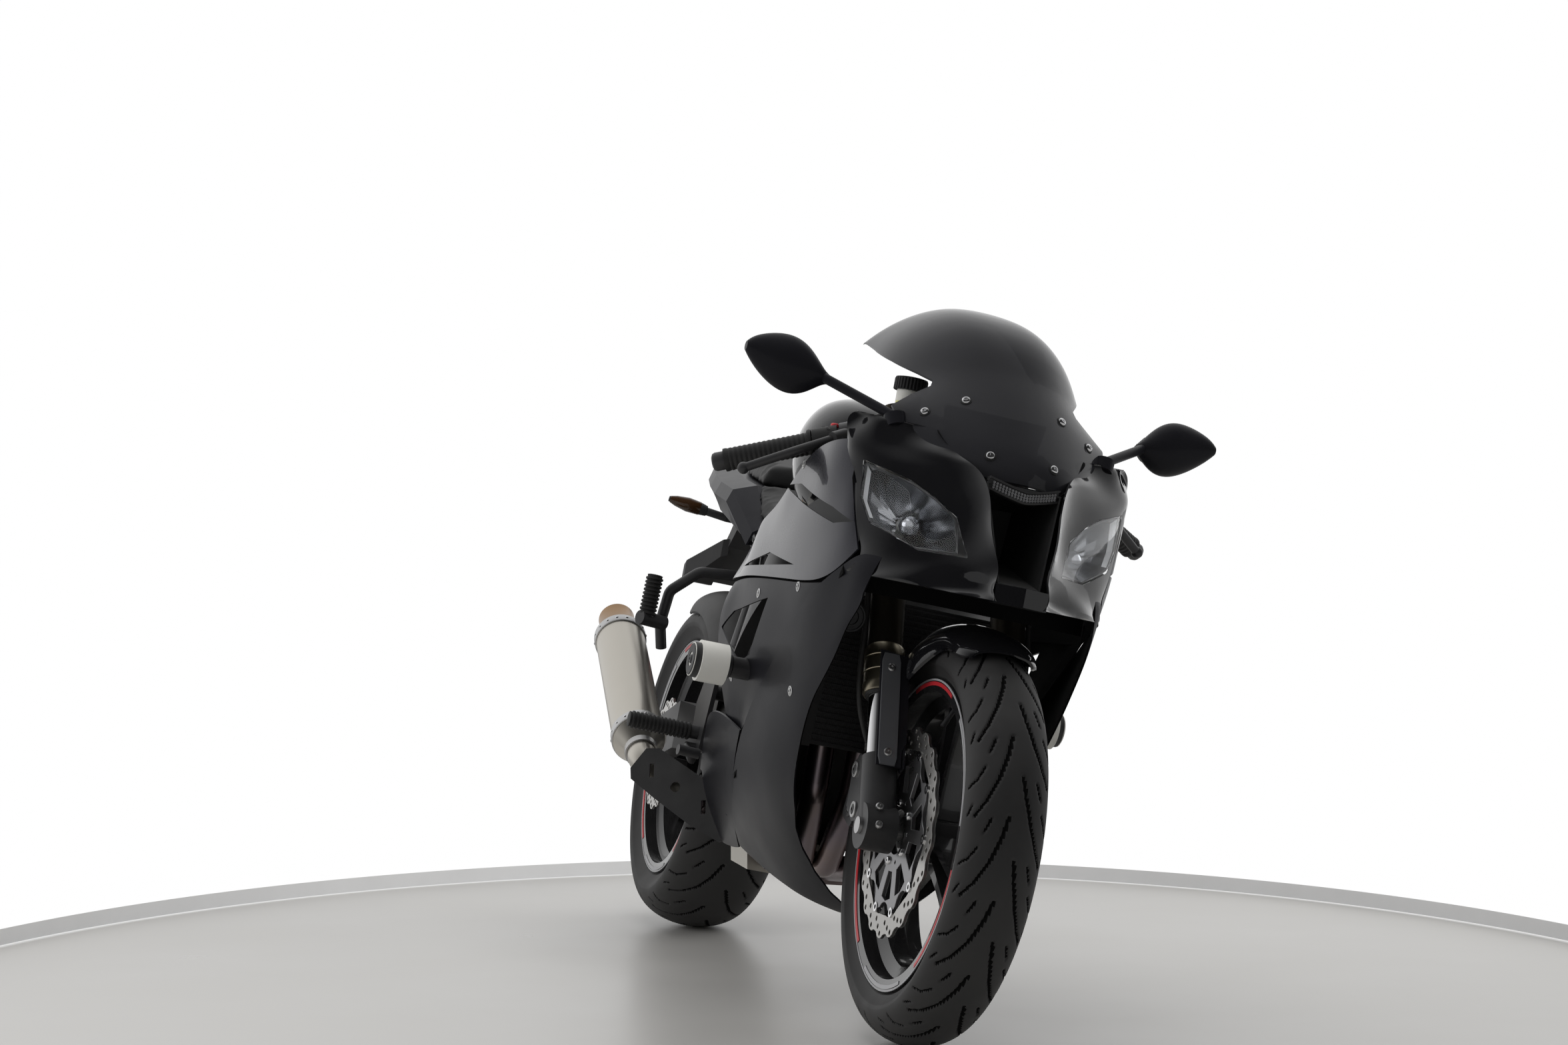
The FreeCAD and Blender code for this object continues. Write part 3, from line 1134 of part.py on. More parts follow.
def rider_footrests():
    """Footrest hangers with heel plates, pegs and pedals."""
    hanger = side_prism([(820, 480), (880, 500), (930, 430), (925, 350), (890, 330), (850, 350)], -176, -168)
    mount = rod(V(-146 - POST_GAP, 852, 452), V(-170, 852, 452), 12)
    peg = rod(V(-176, 880, 378), V(-300, 880, 380), 12)
    pedal = bent_tube([V(-190, 884, 350), V(-196, 800, 330), V(-214, 740, 344)], 7, 40)
    toe = rod(V(-200, 742, 344), V(-238, 738, 346), 9)
    stub = rod(V(-176, 884, 350), V(-192, 884, 350), 10)
    return {"rider_footrests": both_sides(joined([hanger, mount, peg, pedal, toe, stub]))}


def pillion_footrests():
    """Curved arms down from the subframe with the folded pegs."""
    bends = [V(-101, 1060, 672), V(-186, 1060, 664), V(-232, 1070, 620), V(-236, 1080, 560), V(-222, 1096, 516)]
    arm = bent_tube(bends, 10, 22)
    hinge = rod(V(-232, 1066, 560), V(-284, 1040, 562), 13)
    peg = rod(V(-270, 1046, 566), V(-268, 1050, 640), 12.5)
    return {"pillion_footrests": both_sides(joined([arm, hinge, peg]))}


def crash_bobbins():
    """Nylon bobbins on their frame bolts."""
    x, y, z = BOBBIN
    boss = rod(V(-ENGINE_HALF - POST_GAP, y, z), V(x - 1, y, z), BOBBIN_BOSS_R)
    puck = rod(V(x, y, z), V(x - 45, y, z), 33)
    cap = rod(V(x - 44, y, z), V(x - 56, y, z), 27)
    return {"crash_bobbins": both_sides(joined([boss, puck, cap]))}


def dash():
    """Instrument panel behind the screen, on its stay from the steering head."""
    case = loft([[V(-74, 112, 876), V(74, 112, 876), V(80, 94, 938), V(-80, 94, 938)],
                 [V(-68, 134, 870), V(68, 134, 870), V(74, 130, 942), V(-74, 130, 942)]], smooth=False)
    stay = side_prism([(50, 796), (50, 822), (96, 838), (112, 880), (130, 876), (130, 842), (270, 838), (270, 806),
                       (150, 806), (120, 796)], -12, 12)
    stay = stay.cut(duct_body()).cut(head_tube())
    return {"instrument_panel": joined([case, stay])}


def chassis_parts():
    """Everything fixed to the frame."""
    parts = {}
    for make in (frame, engine, radiator, fuel_tank, seats, tail, subframe, swingarm, rear_axle, chain, front_sprocket,
                 rear_caliper, rear_hugger, shock, exhaust, muffler_shield, rider_footrests, pillion_footrests,
                 crash_bobbins, dash, nose_cowl, headlamps, side_panels, intake_duct, mirrors):
        parts.update(make())
    parts["windscreen"] = windscreen()
    return parts


# Stance on the side stand

def crown_drop(radius, width, rim_width):
    """How far a leaning tyre's lowest point lies under the road line of the upright bike."""
    lean = math.radians(LEAN)
    depths = []
    for edge in tyre_profile(radius, width, rim_width).Edges:
        for point in edge.discretize(CROWN_STEPS):
            depths.append(point.x * math.sin(lean) - (radius - point.z) * math.cos(lean))
    return max(depths)


def stance():
    """Placement that lays the upright bike over until both tyres touch the road."""
    front = crown_drop(FRONT_TYRE_R, FRONT_TYRE_W, FRONT_RIM_W)
    rear = crown_drop(REAR_TYRE_R, REAR_TYRE_W, REAR_RIM_W)
    pitch = math.degrees(math.atan2(rear - front, WHEELBASE))
    lean = FreeCAD.Placement(V(0, 0, 0), FreeCAD.Rotation(V(0, 1, 0), LEAN))
    level = FreeCAD.Placement(V(0, 0, front), FreeCAD.Rotation(V(1, 0, 0), pitch))
    return level.multiply(lean)


def stand_foot(laid):
    """Middle of the stand's foot on the road."""
    pivot = laid.multVec(STAND_PIVOT)
    return V(pivot.x + STAND_REACH, pivot.y + STAND_LEAD, 0)


def stand_axis(laid):
    """Fold axis that swings the stand from its working place to one along the belly."""
    down = stand_foot(laid).sub(laid.multVec(STAND_PIVOT)).normalize()
    back = laid.Rotation.multVec(V(STAND_FLARE, 1, STAND_TUCK)).normalize()
    return down.cross(back).normalize()


def side_stand(laid):
    """Stand leg and foot, made where the laid-over bike needs them and carried back upright."""
    pivot = laid.multVec(STAND_PIVOT)
    ground = stand_foot(laid)
    foot = ground.add(V(0, 0, FOOT_T))
    along = stand_axis(laid)
    leg = rod(pivot, foot, STAND_R)
    pad = rod(ground, foot, FOOT_R)
    eye = rod(pivot.sub(V(along).multiply(STAND_EYE / 2)), pivot.add(V(along).multiply(STAND_EYE / 2)), STAND_R + 5)
    shape = joined([leg, pad, eye])
    shape = shape.cut(block(-500, 500, -500, 2500, -100, 0))
    shape.Placement = laid.inverse().multiply(shape.Placement)
    return {"side_stand": shape}


def stand_ears():
    """Two ears under the pivot plate that hold the stand's eye between them."""
    along = stance().inverse().Rotation.multVec(stand_axis(stance())).normalize()
    up = along.cross(V(0, 1, 0)).normalize()
    turn = FreeCAD.Rotation(along, V(0, 1, 0), up, "XZY")
    ears = []
    inner = -STAND_EYE / 2 - FIT_GAP - STAND_EAR_T
    outer = STAND_EYE / 2 + FIT_GAP
    for low, tall in ((inner, STAND_EAR_INNER), (outer, STAND_EAR_OUTER)):
        ear = block(low, low + STAND_EAR_T, -STAND_R - 4, STAND_R + 4, -STAND_R, tall)
        ear.Placement = FreeCAD.Placement(STAND_PIVOT, turn)
        ears.append(ear)
    return ears


def mesh_box(shape):
    """Bounding box of a piece's own surface, free of the slack that curved faces have."""
    box = FreeCAD.BoundBox()
    for point in shape.tessellate(BOX_TOLERANCE)[0]:
        box.add(point)
    return box


TRIMMED = [
    ("mirrors", "nose_cowl"), ("mirrors", "windscreen"), ("hand_levers", "handlebars"), ("fuel_tank", "frame"),
    ("instrument_panel", "frame"), ("shock_absorber", "frame"),
    ("rider_footrests", "frame"), ("pillion_footrests", "subframe"),
]


def assemble():
    """Every piece in its resting place, and the shift that brought it there."""
    laid = stance()
    parts = {}
    parts.update(chassis_parts())
    parts.update(steering_parts())
    parts.update(front_wheel_parts())
    parts.update(rear_wheel_parts())
    parts.update(side_stand(laid))
    for name, seat in TRIMMED:
        parts[name] = parts[name].cut(parts[seat])
    box = FreeCAD.BoundBox()
    for name, shape in parts.items():
        shape = shape.copy()
        shape.Placement = laid.multiply(shape.Placement)
        parts[name] = shape
        box.add(mesh_box(shape))
    shift = V(-(box.XMin + box.XMax) / 2, -(box.YMin + box.YMax) / 2, 0)
    for shape in parts.values():
        shape.translate(shift)
    return parts, FreeCAD.Placement(shift, FreeCAD.Rotation()).multiply(laid), box


def main():
    """Write one file for each piece."""
    os.makedirs("parts", exist_ok=True)
    parts, _, box = assemble()
    for name, shape in parts.items():
        if not shape.isValid() or not shape.Solids:
            print("check", name, "valid", shape.isValid(), "solids", len(shape.Solids))
        shape.exportStep("parts/" + name + ".step")
    print("nodes", len(parts), "size", round(box.XLength, 1), round(box.YLength, 1), round(box.ZLength, 1),
          "floor", round(box.ZMin, 3))


main()
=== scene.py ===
"""Looks, light and camera for the sport bike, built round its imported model."""

from __future__ import annotations

import json
import logging
import math
from dataclasses import dataclass, field
from enum import Enum

import bmesh
import bpy
import numpy as np
from mathutils import Matrix, Quaternion, Vector
from mathutils.bvhtree import BVHTree

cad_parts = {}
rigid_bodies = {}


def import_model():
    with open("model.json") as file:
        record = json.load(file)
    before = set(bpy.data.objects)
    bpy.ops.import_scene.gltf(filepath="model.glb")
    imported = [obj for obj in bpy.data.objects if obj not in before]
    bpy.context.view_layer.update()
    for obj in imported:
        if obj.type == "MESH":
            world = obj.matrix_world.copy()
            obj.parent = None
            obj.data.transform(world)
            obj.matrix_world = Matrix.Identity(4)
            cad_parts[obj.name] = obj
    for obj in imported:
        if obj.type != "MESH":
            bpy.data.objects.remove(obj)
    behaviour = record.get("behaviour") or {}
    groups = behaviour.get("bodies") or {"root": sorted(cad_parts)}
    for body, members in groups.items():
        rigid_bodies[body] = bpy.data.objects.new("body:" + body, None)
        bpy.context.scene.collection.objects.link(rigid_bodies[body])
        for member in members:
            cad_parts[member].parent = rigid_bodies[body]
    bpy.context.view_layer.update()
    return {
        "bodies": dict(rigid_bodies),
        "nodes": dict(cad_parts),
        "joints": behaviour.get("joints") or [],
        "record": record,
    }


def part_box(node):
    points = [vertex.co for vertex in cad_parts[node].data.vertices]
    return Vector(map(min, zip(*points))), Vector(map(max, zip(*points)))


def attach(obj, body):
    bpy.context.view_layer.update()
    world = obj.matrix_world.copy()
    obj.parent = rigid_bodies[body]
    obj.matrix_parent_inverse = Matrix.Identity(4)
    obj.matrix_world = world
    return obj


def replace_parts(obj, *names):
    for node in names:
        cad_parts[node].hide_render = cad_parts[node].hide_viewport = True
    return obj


LOG = logging.getLogger("sport_bike")
MM = 0.001
FULL_TURN = 2 * math.pi
RAKE = math.radians(25.0)
ACROSS, BACK, UP = Vector((1, 0, 0)), Vector((0, 1, 0)), Vector((0, 0, 1))
FRONT_AXLE, REAR_AXLE = (0, 300), (1425, 320)
BEAD_FLANGE = 229.0
DUST_COLOUR = (0.42, 0.41, 0.39)
COAT_ROUGHNESS = 0.03
BUMP_GAIN = 4000
MERGE_WITHIN = 0.00001
PLATE_SHARP = 30.0
ROOM_LIGHT, ROOM_SEEN = 0.42, 1.0
WHITE = (1.0, 1.0, 1.0, 1.0)


# Where things are


@dataclass(frozen=True)
class BikeFrame:
    """The upright bike's own frame, found from the wheel joints of the leaning model."""

    front_radius: float = 0.300
    rear_radius: float = 0.320
    wheelbase: float = 1.425

    def matrix(self, joints: list[dict]) -> Matrix:
        """Work out the matrix that carries upright bike places to the resting model.

        Args:
            joints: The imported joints, with their places and axes.

        Returns:
            A rigid transform in metres.
        """
        found = {joint["name"]: joint for joint in joints}
        front, rear = (Vector(found[end + "_wheel_spin"]["pos_m"]) for end in ("front", "rear"))
        across = Vector(found["front_wheel_spin"]["axis"]).normalized()
        rise = math.atan2(self.rear_radius - self.front_radius, self.wheelbase)
        along = Quaternion(across, -rise) @ (rear - front).normalized()
        up = across.cross(along).normalized()
        turn = Matrix((across, along, up)).transposed().to_4x4()
        return Matrix.Translation(front - up * self.front_radius) @ turn


def fork_mm(x: float, y: float, along: float) -> Vector:
    """Upright place of a point given in the fork's frame.

    Args:
        x: Millimetres to the rider's left.
        y: Millimetres square to the legs, rearward.
        along: Millimetres up the legs from the front axle.

    Returns:
        The upright place in millimetres.
    """
    sine, cosine = math.sin(RAKE), math.cos(RAKE)
    return Vector((x, y * cosine + along * sine, FRONT_AXLE[1] - y * sine + along * cosine))


class Side(Enum):
    """The two sides of the bike, as the sign of the upright frame's X."""

    RIGHT = -1
    LEFT = 1

    @property
    def out(self) -> Vector:
        """Direction away from the bike's middle."""
        return Vector((self.value, 0, 0))

    def at(self, x: float, y: float, z: float) -> Vector:
        """Upright place, with X counted outward on this side."""
        return Vector((self.value * x, y, z))

    def fork(self, x: float, y: float, along: float) -> Vector:
        """Upright place from the fork's frame, with X counted outward on this side."""
        return fork_mm(self.value * x, y, along)


# Materials


class ShaderBench:
    """Adds nodes to the emptied tree of a material, a world or a group and wires them up."""

    def __init__(self, tree: bpy.types.NodeTree) -> None:
        """Empty the tree and keep it."""
        tree.nodes.clear()
        self.tree = tree

    @classmethod
    def group(cls, name: str, inputs: dict[str, float]) -> tuple[ShaderBench, bpy.types.NodeOutputs]:
        """Start a node group with number inputs.

        Args:
            name: The group's name.
            inputs: Names and default values of its inputs.

        Returns:
            Its bench and the sockets that give what goes into the group.
        """
        tree = bpy.data.node_groups.new(name, "ShaderNodeTree")
        for socket, value in inputs.items():
            made = tree.interface.new_socket(name=socket, in_out="INPUT", socket_type="NodeSocketFloat")
            made.default_value = value
        return cls(tree), tree.nodes.new("NodeGroupInput").outputs

    def close(self, results: dict[str, bpy.types.NodeSocket]) -> bpy.types.NodeTree:
        """Finish a node group.

        Args:
            results: What each of its outputs gives.

        Returns:
            The group.
        """
        leave = self.tree.nodes.new("NodeGroupOutput")
        for name, socket in results.items():
            self.tree.interface.new_socket(name=name, in_out="OUTPUT", socket_type="NodeSocketFloat")
            self.tree.links.new(socket, leave.inputs[name])
        return self.tree

    def add(self, kind: str, inputs: dict | None = None, **settings: object) -> bpy.types.NodeOutputs:
        """Add one node.

        Args:
            kind: Blender's type name, without its ShaderNode start.
            inputs: Values of its inputs, or the sockets that they are linked to.
            settings: Properties set on the new node.

        Returns:
            The node's outputs.
        """
        node = self.tree.nodes.new("ShaderNode" + kind)
        for name, value in settings.items():
            setattr(node, name, value)
        for name, value in (inputs or {}).items():
            if isinstance(value, bpy.types.NodeSocket):
                self.tree.links.new(value, node.inputs[name])
            else:
                node.inputs[name].default_value = value
        return node.outputs

    def mix(self, mask: bpy.types.NodeSocket, low: object, high: object) -> bpy.types.NodeSocket:
        """Blend two colours, each a tuple or a socket, by a mask."""
        ends = {name: (*end, 1.0) if isinstance(end, tuple) else end
                for name, end in (("A", low), ("B", high))}
        return self.add("Mix", {"Factor": mask, **ends}, data_type="RGBA")["Result"]

    def mix_shaders(self, mask: bpy.types.NodeSocket, low: object, high: object) -> bpy.types.NodeSocket:
        """Blend two shaders by a mask."""
        return self.add("MixShader", {"Fac": mask, 1: low, 2: high})["Shader"]

    def multiply(self, first: bpy.types.NodeSocket, second: bpy.types.NodeSocket) -> bpy.types.NodeSocket:
        """Multiply two numbers."""
        return self.add("Math", {0: first, 1: second}, operation="MULTIPLY")["Value"]

    def ramp(self, source: bpy.types.NodeSocket, low: float, high: float, start: float = 0.0,
             stop: float = 1.0) -> bpy.types.NodeSocket:
        """Stretch a value to the span between two numbers.

        Args:
            source: The value.
            low: Result at the start.
            high: Result at the stop.
            start: Value that gives the low result.
            stop: Value that gives the high result.

        Returns:
            The stretched value's socket.
        """
        return self.add("MapRange", {"Value": source, "From Min": start, "From Max": stop, "To Min": low,
                                     "To Max": high})["Result"]


class Effects:
    """Node groups that several finishes share, each built once."""

    def __init__(self) -> None:
        """Build the groups."""
        self.grain, self.dust, self.streaks = self._grain(), self._dust(), self._streaks()

    def _grain(self) -> bpy.types.NodeTree:
        """Fine pebbled surface.

        Returns:
            The group, with a height and a patchy mask.
        """
        bench, entry = ShaderBench.group("moulded grain", {"Scale": 900.0, "Patch Scale": 14.0})
        place = bench.add("TexCoord")["Object"]
        pebble = bench.add("TexVoronoi", {"Vector": place, "Scale": entry["Scale"]}, feature="SMOOTH_F1")
        patch = bench.add("TexNoise", {"Vector": place, "Scale": entry["Patch Scale"], "Detail": 4.0})
        return bench.close({"Height": pebble["Distance"], "Patches": patch["Fac"]})

    def _dust(self) -> bpy.types.NodeTree:
        """Thin dust that gathers on faces that look up and in uneven patches.

        Returns:
            The group, with a mask.
        """
        bench, entry = ShaderBench.group("settled dust", {"Amount": 0.1})
        split = bench.add("SeparateXYZ", {"Vector": bench.add("NewGeometry")["Normal"]})
        patches = bench.add("TexNoise",
                            {"Vector": bench.add("TexCoord")["Object"], "Scale": 23.0, "Detail": 8.0})
        both = bench.multiply(bench.ramp(split["Z"], 0.25, 1.0), patches["Fac"])
        return bench.close({"Mask": bench.multiply(both, entry["Amount"])})

    def _streaks(self) -> bpy.types.NodeTree:
        """Long fine streaks of brushed or turned metal.

        Returns:
            The group, with a height.
        """
        bench, entry = ShaderBench.group("metal streaks", {"Across": 700.0, "Along": 6.0})
        spread = bench.add("CombineXYZ", {"X": entry["Across"], "Y": entry["Along"], "Z": entry["Across"]})
        stretch = bench.add("VectorMath", {0: bench.add("TexCoord")["Object"], 1: spread["Vector"]},
                            operation="MULTIPLY")
        noise = bench.add("TexNoise", {"Vector": stretch["Vector"], "Scale": 1.0, "Detail": 3.0})
        return bench.close({"Height": noise["Fac"]})


def new_material(name: str) -> tuple[bpy.types.Material, ShaderBench]:
    """Start a material, with the bench that its nodes are made on."""
    material = bpy.data.materials.new(name)
    material.use_nodes = True
    return material, ShaderBench(material.node_tree)


@dataclass(frozen=True)
class Finish:
    """A surface finish: colour, gloss and the small unevenness of the real thing."""

    name: str
    colour: tuple[float, float, float]
    second: tuple[float, float, float]
    roughness: tuple[float, float] = (0.3, 0.4)
    slot: str = "black_plastic"
    metallic: float = 0.0
    coat: float = 0.0
    grain_scale: float = 900.0
    grain_height: float = 0.0
    streak_height: float = 0.0
    streak_across: float = 700.0
    streak_along: float = 6.0
    dust: float = 0.0
    patch_scale: float = 14.0
    transmission: float = 0.0
    ior: float = 1.5
    alpha: float = 1.0
    specular: float = 0.5

    def make(self, effects: Effects) -> bpy.types.Material:
        """Build the material.

        Args:
            effects: The shared node groups.

        Returns:
            The finished material.
        """
        material, bench = new_material(self.name)
        grain = bench.add("Group", {"Scale": self.grain_scale, "Patch Scale": self.patch_scale},
                          node_tree=effects.grain)
        colour = bench.mix(grain["Patches"], self.colour, self.second)
        if self.dust:
            dust = bench.add("Group", {"Amount": self.dust}, node_tree=effects.dust)
            colour = bench.mix(dust["Mask"], colour, DUST_COLOUR)
        look = {"Base Color": colour, "Roughness": bench.ramp(grain["Patches"], *self.roughness),
                "Metallic": self.metallic, "Coat Weight": self.coat, "Coat Roughness": COAT_ROUGHNESS,
                "Transmission Weight": self.transmission, "IOR": self.ior, "Alpha": self.alpha,
                "Specular IOR Level": self.specular}
        height, strength = grain["Height"], self.grain_height
        if self.streak_height:
            streaks = bench.add("Group", {"Across": self.streak_across, "Along": self.streak_along},
                                node_tree=effects.streaks)
            height, strength = streaks["Height"], self.streak_height
        if strength:
            bump = {"Strength": min(1.0, strength * BUMP_GAIN), "Distance": strength, "Height": height}
            look["Normal"] = bench.add("Bump", bump)["Normal"]
        bench.add("OutputMaterial", {"Surface": bench.add("BsdfPrincipled", look)["BSDF"]})
        return material


GLOSS_BLACK = Finish("gloss black paint", (0.004, 0.004, 0.005), (0.006, 0.006, 0.007), (0.1, 0.16), coat=1.0,
                     specular=0.15, dust=0.012)
GREY_METAL_PAINT = Finish("dark grey metallic paint", (0.03, 0.03, 0.037), (0.038, 0.038, 0.046),
                          (0.24, 0.32), metallic=0.5, coat=0.6, specular=0.2, grain_scale=2600,
                          grain_height=0.000003, dust=0.015)
SATIN_PANEL = Finish("satin dark panel", (0.008, 0.008, 0.01), (0.012, 0.012, 0.015), (0.3, 0.4),
                     "satin_panel",
                     coat=0.04, specular=0.1, grain_scale=2400, grain_height=0.00001, dust=0.02)
BLACK_PLASTIC = Finish("textured black plastic", (0.012, 0.012, 0.013), (0.02, 0.02, 0.021), (0.45, 0.6),
                       grain_scale=1300, grain_height=0.00006, dust=0.1)
BLACK_CAST = Finish("satin black casting", (0.014, 0.014, 0.015), (0.024, 0.024, 0.026), (0.32, 0.48),
                    "black_cast", grain_scale=1000, grain_height=0.00004, dust=0.08)
ENGINE_CAST = Finish("dark engine casting", (0.02, 0.02, 0.021), (0.035, 0.034, 0.033), (0.45, 0.6),
                     "engine_grey", metallic=0.3, grain_scale=700, grain_height=0.00008, dust=0.14)
SMOKE_SCREEN = Finish("dark smoke screen", (0.02, 0.02, 0.022), (0.024, 0.024, 0.027), (0.06, 0.09),
                      specular=0.28, alpha=0.92)
CLEAR_LENS = Finish("clear lamp lens", (0.97, 0.98, 0.99), (0.98, 0.99, 1.0), (0.0, 0.0), transmission=1.0,
                    ior=1.2)
RED_LENS = Finish("red lamp lens", (0.45, 0.01, 0.01), (0.5, 0.02, 0.015), (0.05, 0.08), "red_lens",
                  transmission=0.4, coat=0.5)
TYRE_RUBBER = Finish("road tyre rubber", (0.012, 0.012, 0.013), (0.022, 0.021, 0.021), (0.5, 0.68), "tyre",
                     grain_scale=1500, grain_height=0.00005, dust=0.05, patch_scale=22)
SOFT_RUBBER = Finish("black rubber", (0.012, 0.012, 0.012), (0.018, 0.018, 0.018), (0.5, 0.65), "rubber",
                     grain_scale=1400, grain_height=0.00004)
DISC_STEEL = Finish("brushed disc steel", (0.5, 0.49, 0.47), (0.62, 0.61, 0.59), (0.24, 0.34), "disc_steel",
                    metallic=1.0, streak_height=0.00003, streak_across=90, streak_along=900)
FORK_BRONZE = Finish("dark bronze anodising", (0.06, 0.053, 0.042), (0.075, 0.066, 0.052), (0.3, 0.36),
                     "fork_bronze", metallic=0.9, streak_height=0.000008, streak_across=900, streak_along=30)
CHAMPAGNE = Finish("champagne anodising", (0.4, 0.36, 0.27), (0.46, 0.41, 0.31), (0.26, 0.32), "fork_bronze",
                   metallic=1.0)
POLISHED = Finish("polished chrome", (0.78, 0.78, 0.79), (0.84, 0.84, 0.85), (0.04, 0.08), "aluminium",
                  metallic=1.0)
BARE_ALUMINIUM = Finish("bare aluminium", (0.55, 0.55, 0.55), (0.66, 0.66, 0.66), (0.3, 0.42), "aluminium",
                        metallic=1.0, streak_height=0.00001)
BRUSHED_TITANIUM = Finish("brushed titanium", (0.56, 0.53, 0.47), (0.66, 0.63, 0.57), (0.26, 0.36),
                          metallic=1.0, streak_height=0.00003, streak_across=500, streak_along=8,
                          patch_scale=7)
TINTED_STEEL = Finish("heat tinted steel", (0.3, 0.23, 0.16), (0.24, 0.22, 0.3), (0.24, 0.36), "header_steel",
                      metallic=1.0, streak_height=0.00001, patch_scale=11, dust=0.05)
CHAIN_STEEL = Finish("oiled chain steel", (0.22, 0.21, 0.19), (0.1, 0.09, 0.08), (0.3, 0.5), "chain_steel",
                     metallic=1.0, patch_scale=60)
SEAT_COVER = Finish("grained seat cover", (0.012, 0.012, 0.012), (0.018, 0.018, 0.018), (0.5, 0.62),
                    grain_scale=1100, grain_height=0.00012)
WHITE_NYLON = Finish("white nylon", (0.68, 0.67, 0.62), (0.75, 0.74, 0.7), (0.35, 0.45))
WHEEL_BLACK = Finish("gloss black wheel", (0.008, 0.008, 0.009), (0.012, 0.012, 0.013), (0.14, 0.22),
                     coat=0.6, dust=0.05)
TAPE_RED = Finish("red rim tape", (0.42, 0.02, 0.03), (0.5, 0.03, 0.035), slot="black_wheel")
TAPE_GREY = Finish("grey rim tape", (0.3, 0.3, 0.31), (0.36, 0.36, 0.37), slot="black_wheel")
MIRROR_GLASS = Finish("mirror glass", (0.86, 0.87, 0.88), (0.88, 0.89, 0.9), (0.01, 0.02), "clear_lens",
                      metallic=1.0)
BRAKE_FLUID = Finish("pale yellow fluid pot", (0.62, 0.62, 0.2), (0.66, 0.66, 0.26), (0.15, 0.2),
                     "clear_lens", coat=0.4)
CARRIER_ALLOY = Finish("satin carrier alloy", (0.3, 0.3, 0.31), (0.38, 0.38, 0.39), (0.28, 0.36), "aluminium",
                       metallic=1.0, grain_scale=1500, grain_height=0.00001, dust=0.04)
GUARD_GREY = Finish("grey fork guard", (0.06, 0.062, 0.068), (0.075, 0.077, 0.083), (0.34, 0.42),
                    "satin_panel", coat=0.3, grain_scale=1900, grain_height=0.00002, dust=0.05)
LAMP_CHROME = Finish("lamp reflector", (0.2, 0.205, 0.215), (0.36, 0.365, 0.38), (0.14, 0.2), "clear_lens",
                     metallic=1.0, patch_scale=30)
WARM_BULB = Finish("lamp bulb", (0.22, 0.22, 0.2), (0.28, 0.28, 0.26), (0.2, 0.3), "clear_lens")
# Plain near-white finish: a painted reflection on the side of the headlamp reflectors.
PAINTED_REFLECTION_WHITE = Finish("bright lamp strip", (0.74, 0.75, 0.76), (0.8, 0.81, 0.82), (0.2, 0.3), "clear_lens",
                      coat=0.3)
LIGHT_CELL = Finish("small lamp cell", (0.3, 0.3, 0.31), (0.4, 0.4, 0.41), (0.2, 0.3), "clear_lens", coat=0.3)
DISPLAY_GLASS = Finish("dark display glass", (0.01, 0.011, 0.012), (0.014, 0.015, 0.016), (0.05, 0.1),
                       coat=1.0)
AMBER_LENS = Finish("smoked amber lens", (0.03, 0.014, 0.006), (0.045, 0.02, 0.008), (0.1, 0.15), "red_lens",
                    coat=0.3)
SKIRTING = Finish("grey skirting", (0.8, 0.8, 0.8), (0.86, 0.86, 0.86), (0.5, 0.6))
# Matte near-black: the panels' unpainted inner faces, and painted shade on the dark sheets inside the nose
# and behind the panel seams.
UNPAINTED_AND_SHADE_BLACK = Finish("unpainted inside and painted shade", (0.004, 0.004, 0.004), (0.006, 0.006, 0.006), (0.75, 0.9),
                     specular=0.08, grain_scale=1200, grain_height=0.00003)
# Near-black finish for the tyre's groove floors: painted shade in the grooves.
GROOVE_SHADE_BLACK = Finish("painted groove shade", (0.003, 0.003, 0.003), (0.005, 0.005, 0.005), (0.8, 0.9), specular=0.1)
SOOT = Finish("sooty bore", (0.01, 0.01, 0.01), (0.02, 0.019, 0.018), (0.8, 0.95), "black_cast",
              grain_scale=800, grain_height=0.00006)
BRONZE_CAP = Finish("bronze end cap", (0.33, 0.2, 0.1), (0.4, 0.26, 0.15), (0.25, 0.35), "header_steel",
                    metallic=1.0)

DRESSED: dict[Finish, str] = {
    WHEEL_BLACK: "front_rim rear_rim",
    TYRE_RUBBER: "front_tyre rear_tyre",
    DISC_STEEL: "front_discs rear_disc",
    BARE_ALUMINIUM: "rear_sprocket front_axle rear_axle pivot_bolt",
    CHAIN_STEEL: "chain",
    FORK_BRONZE: "fork_outer_tubes",
    POLISHED: "fork_inner_tubes",
    BLACK_CAST: "fork_feet front_calipers triple_clamps hand_levers frame subframe swingarm rear_caliper "
                "shock_absorber rider_footrests pillion_footrests side_stand",
    SOFT_RUBBER: "handlebars",
    GLOSS_BLACK: "front_fender fuel_tank nose_cowl",
    SATIN_PANEL: "fork_guards tail_cowl mirrors blade_panel_right blade_panel_left mid_panel_right "
                 "mid_panel_left belly_panel_right belly_panel_left",
    ENGINE_CAST: "engine_block",
    BLACK_PLASTIC: "radiator plate_bracket sprocket_cover rear_hugger muffler_shield instrument_panel "
                   "intake_duct",
    SEAT_COVER: "rider_seat pillion_seat",
    RED_LENS: "tail_lamp",
    TINTED_STEEL: "exhaust_headers",
    BRUSHED_TITANIUM: "exhaust_chamber muffler",
    WHITE_NYLON: "crash_bobbins",
    CLEAR_LENS: "headlamp_lenses",
    SMOKE_SCREEN: "windscreen",
    GREY_METAL_PAINT: "side_panel_right side_panel_left",
}


class Paintbox:
    """Makes each finish once and hands it out."""

    def __init__(self) -> None:
        """Build the shared effects."""
        self.effects = Effects()
        self.made: dict[Finish, bpy.types.Material] = {}

    def get(self, finish: Finish) -> bpy.types.Material:
        """Give the material of a finish, built on first use."""
        if finish not in self.made:
            self.made[finish] = finish.make(self.effects)
        return self.made[finish]

    def dress(self, thing: bpy.types.Object, finish: Finish) -> None:
        """Give every face of an object one finish."""
        slots = thing.data.materials
        if len(slots) == 0:
            slots.append(self.get(finish))
        for index in range(len(slots)):
            slots[index] = self.get(finish)


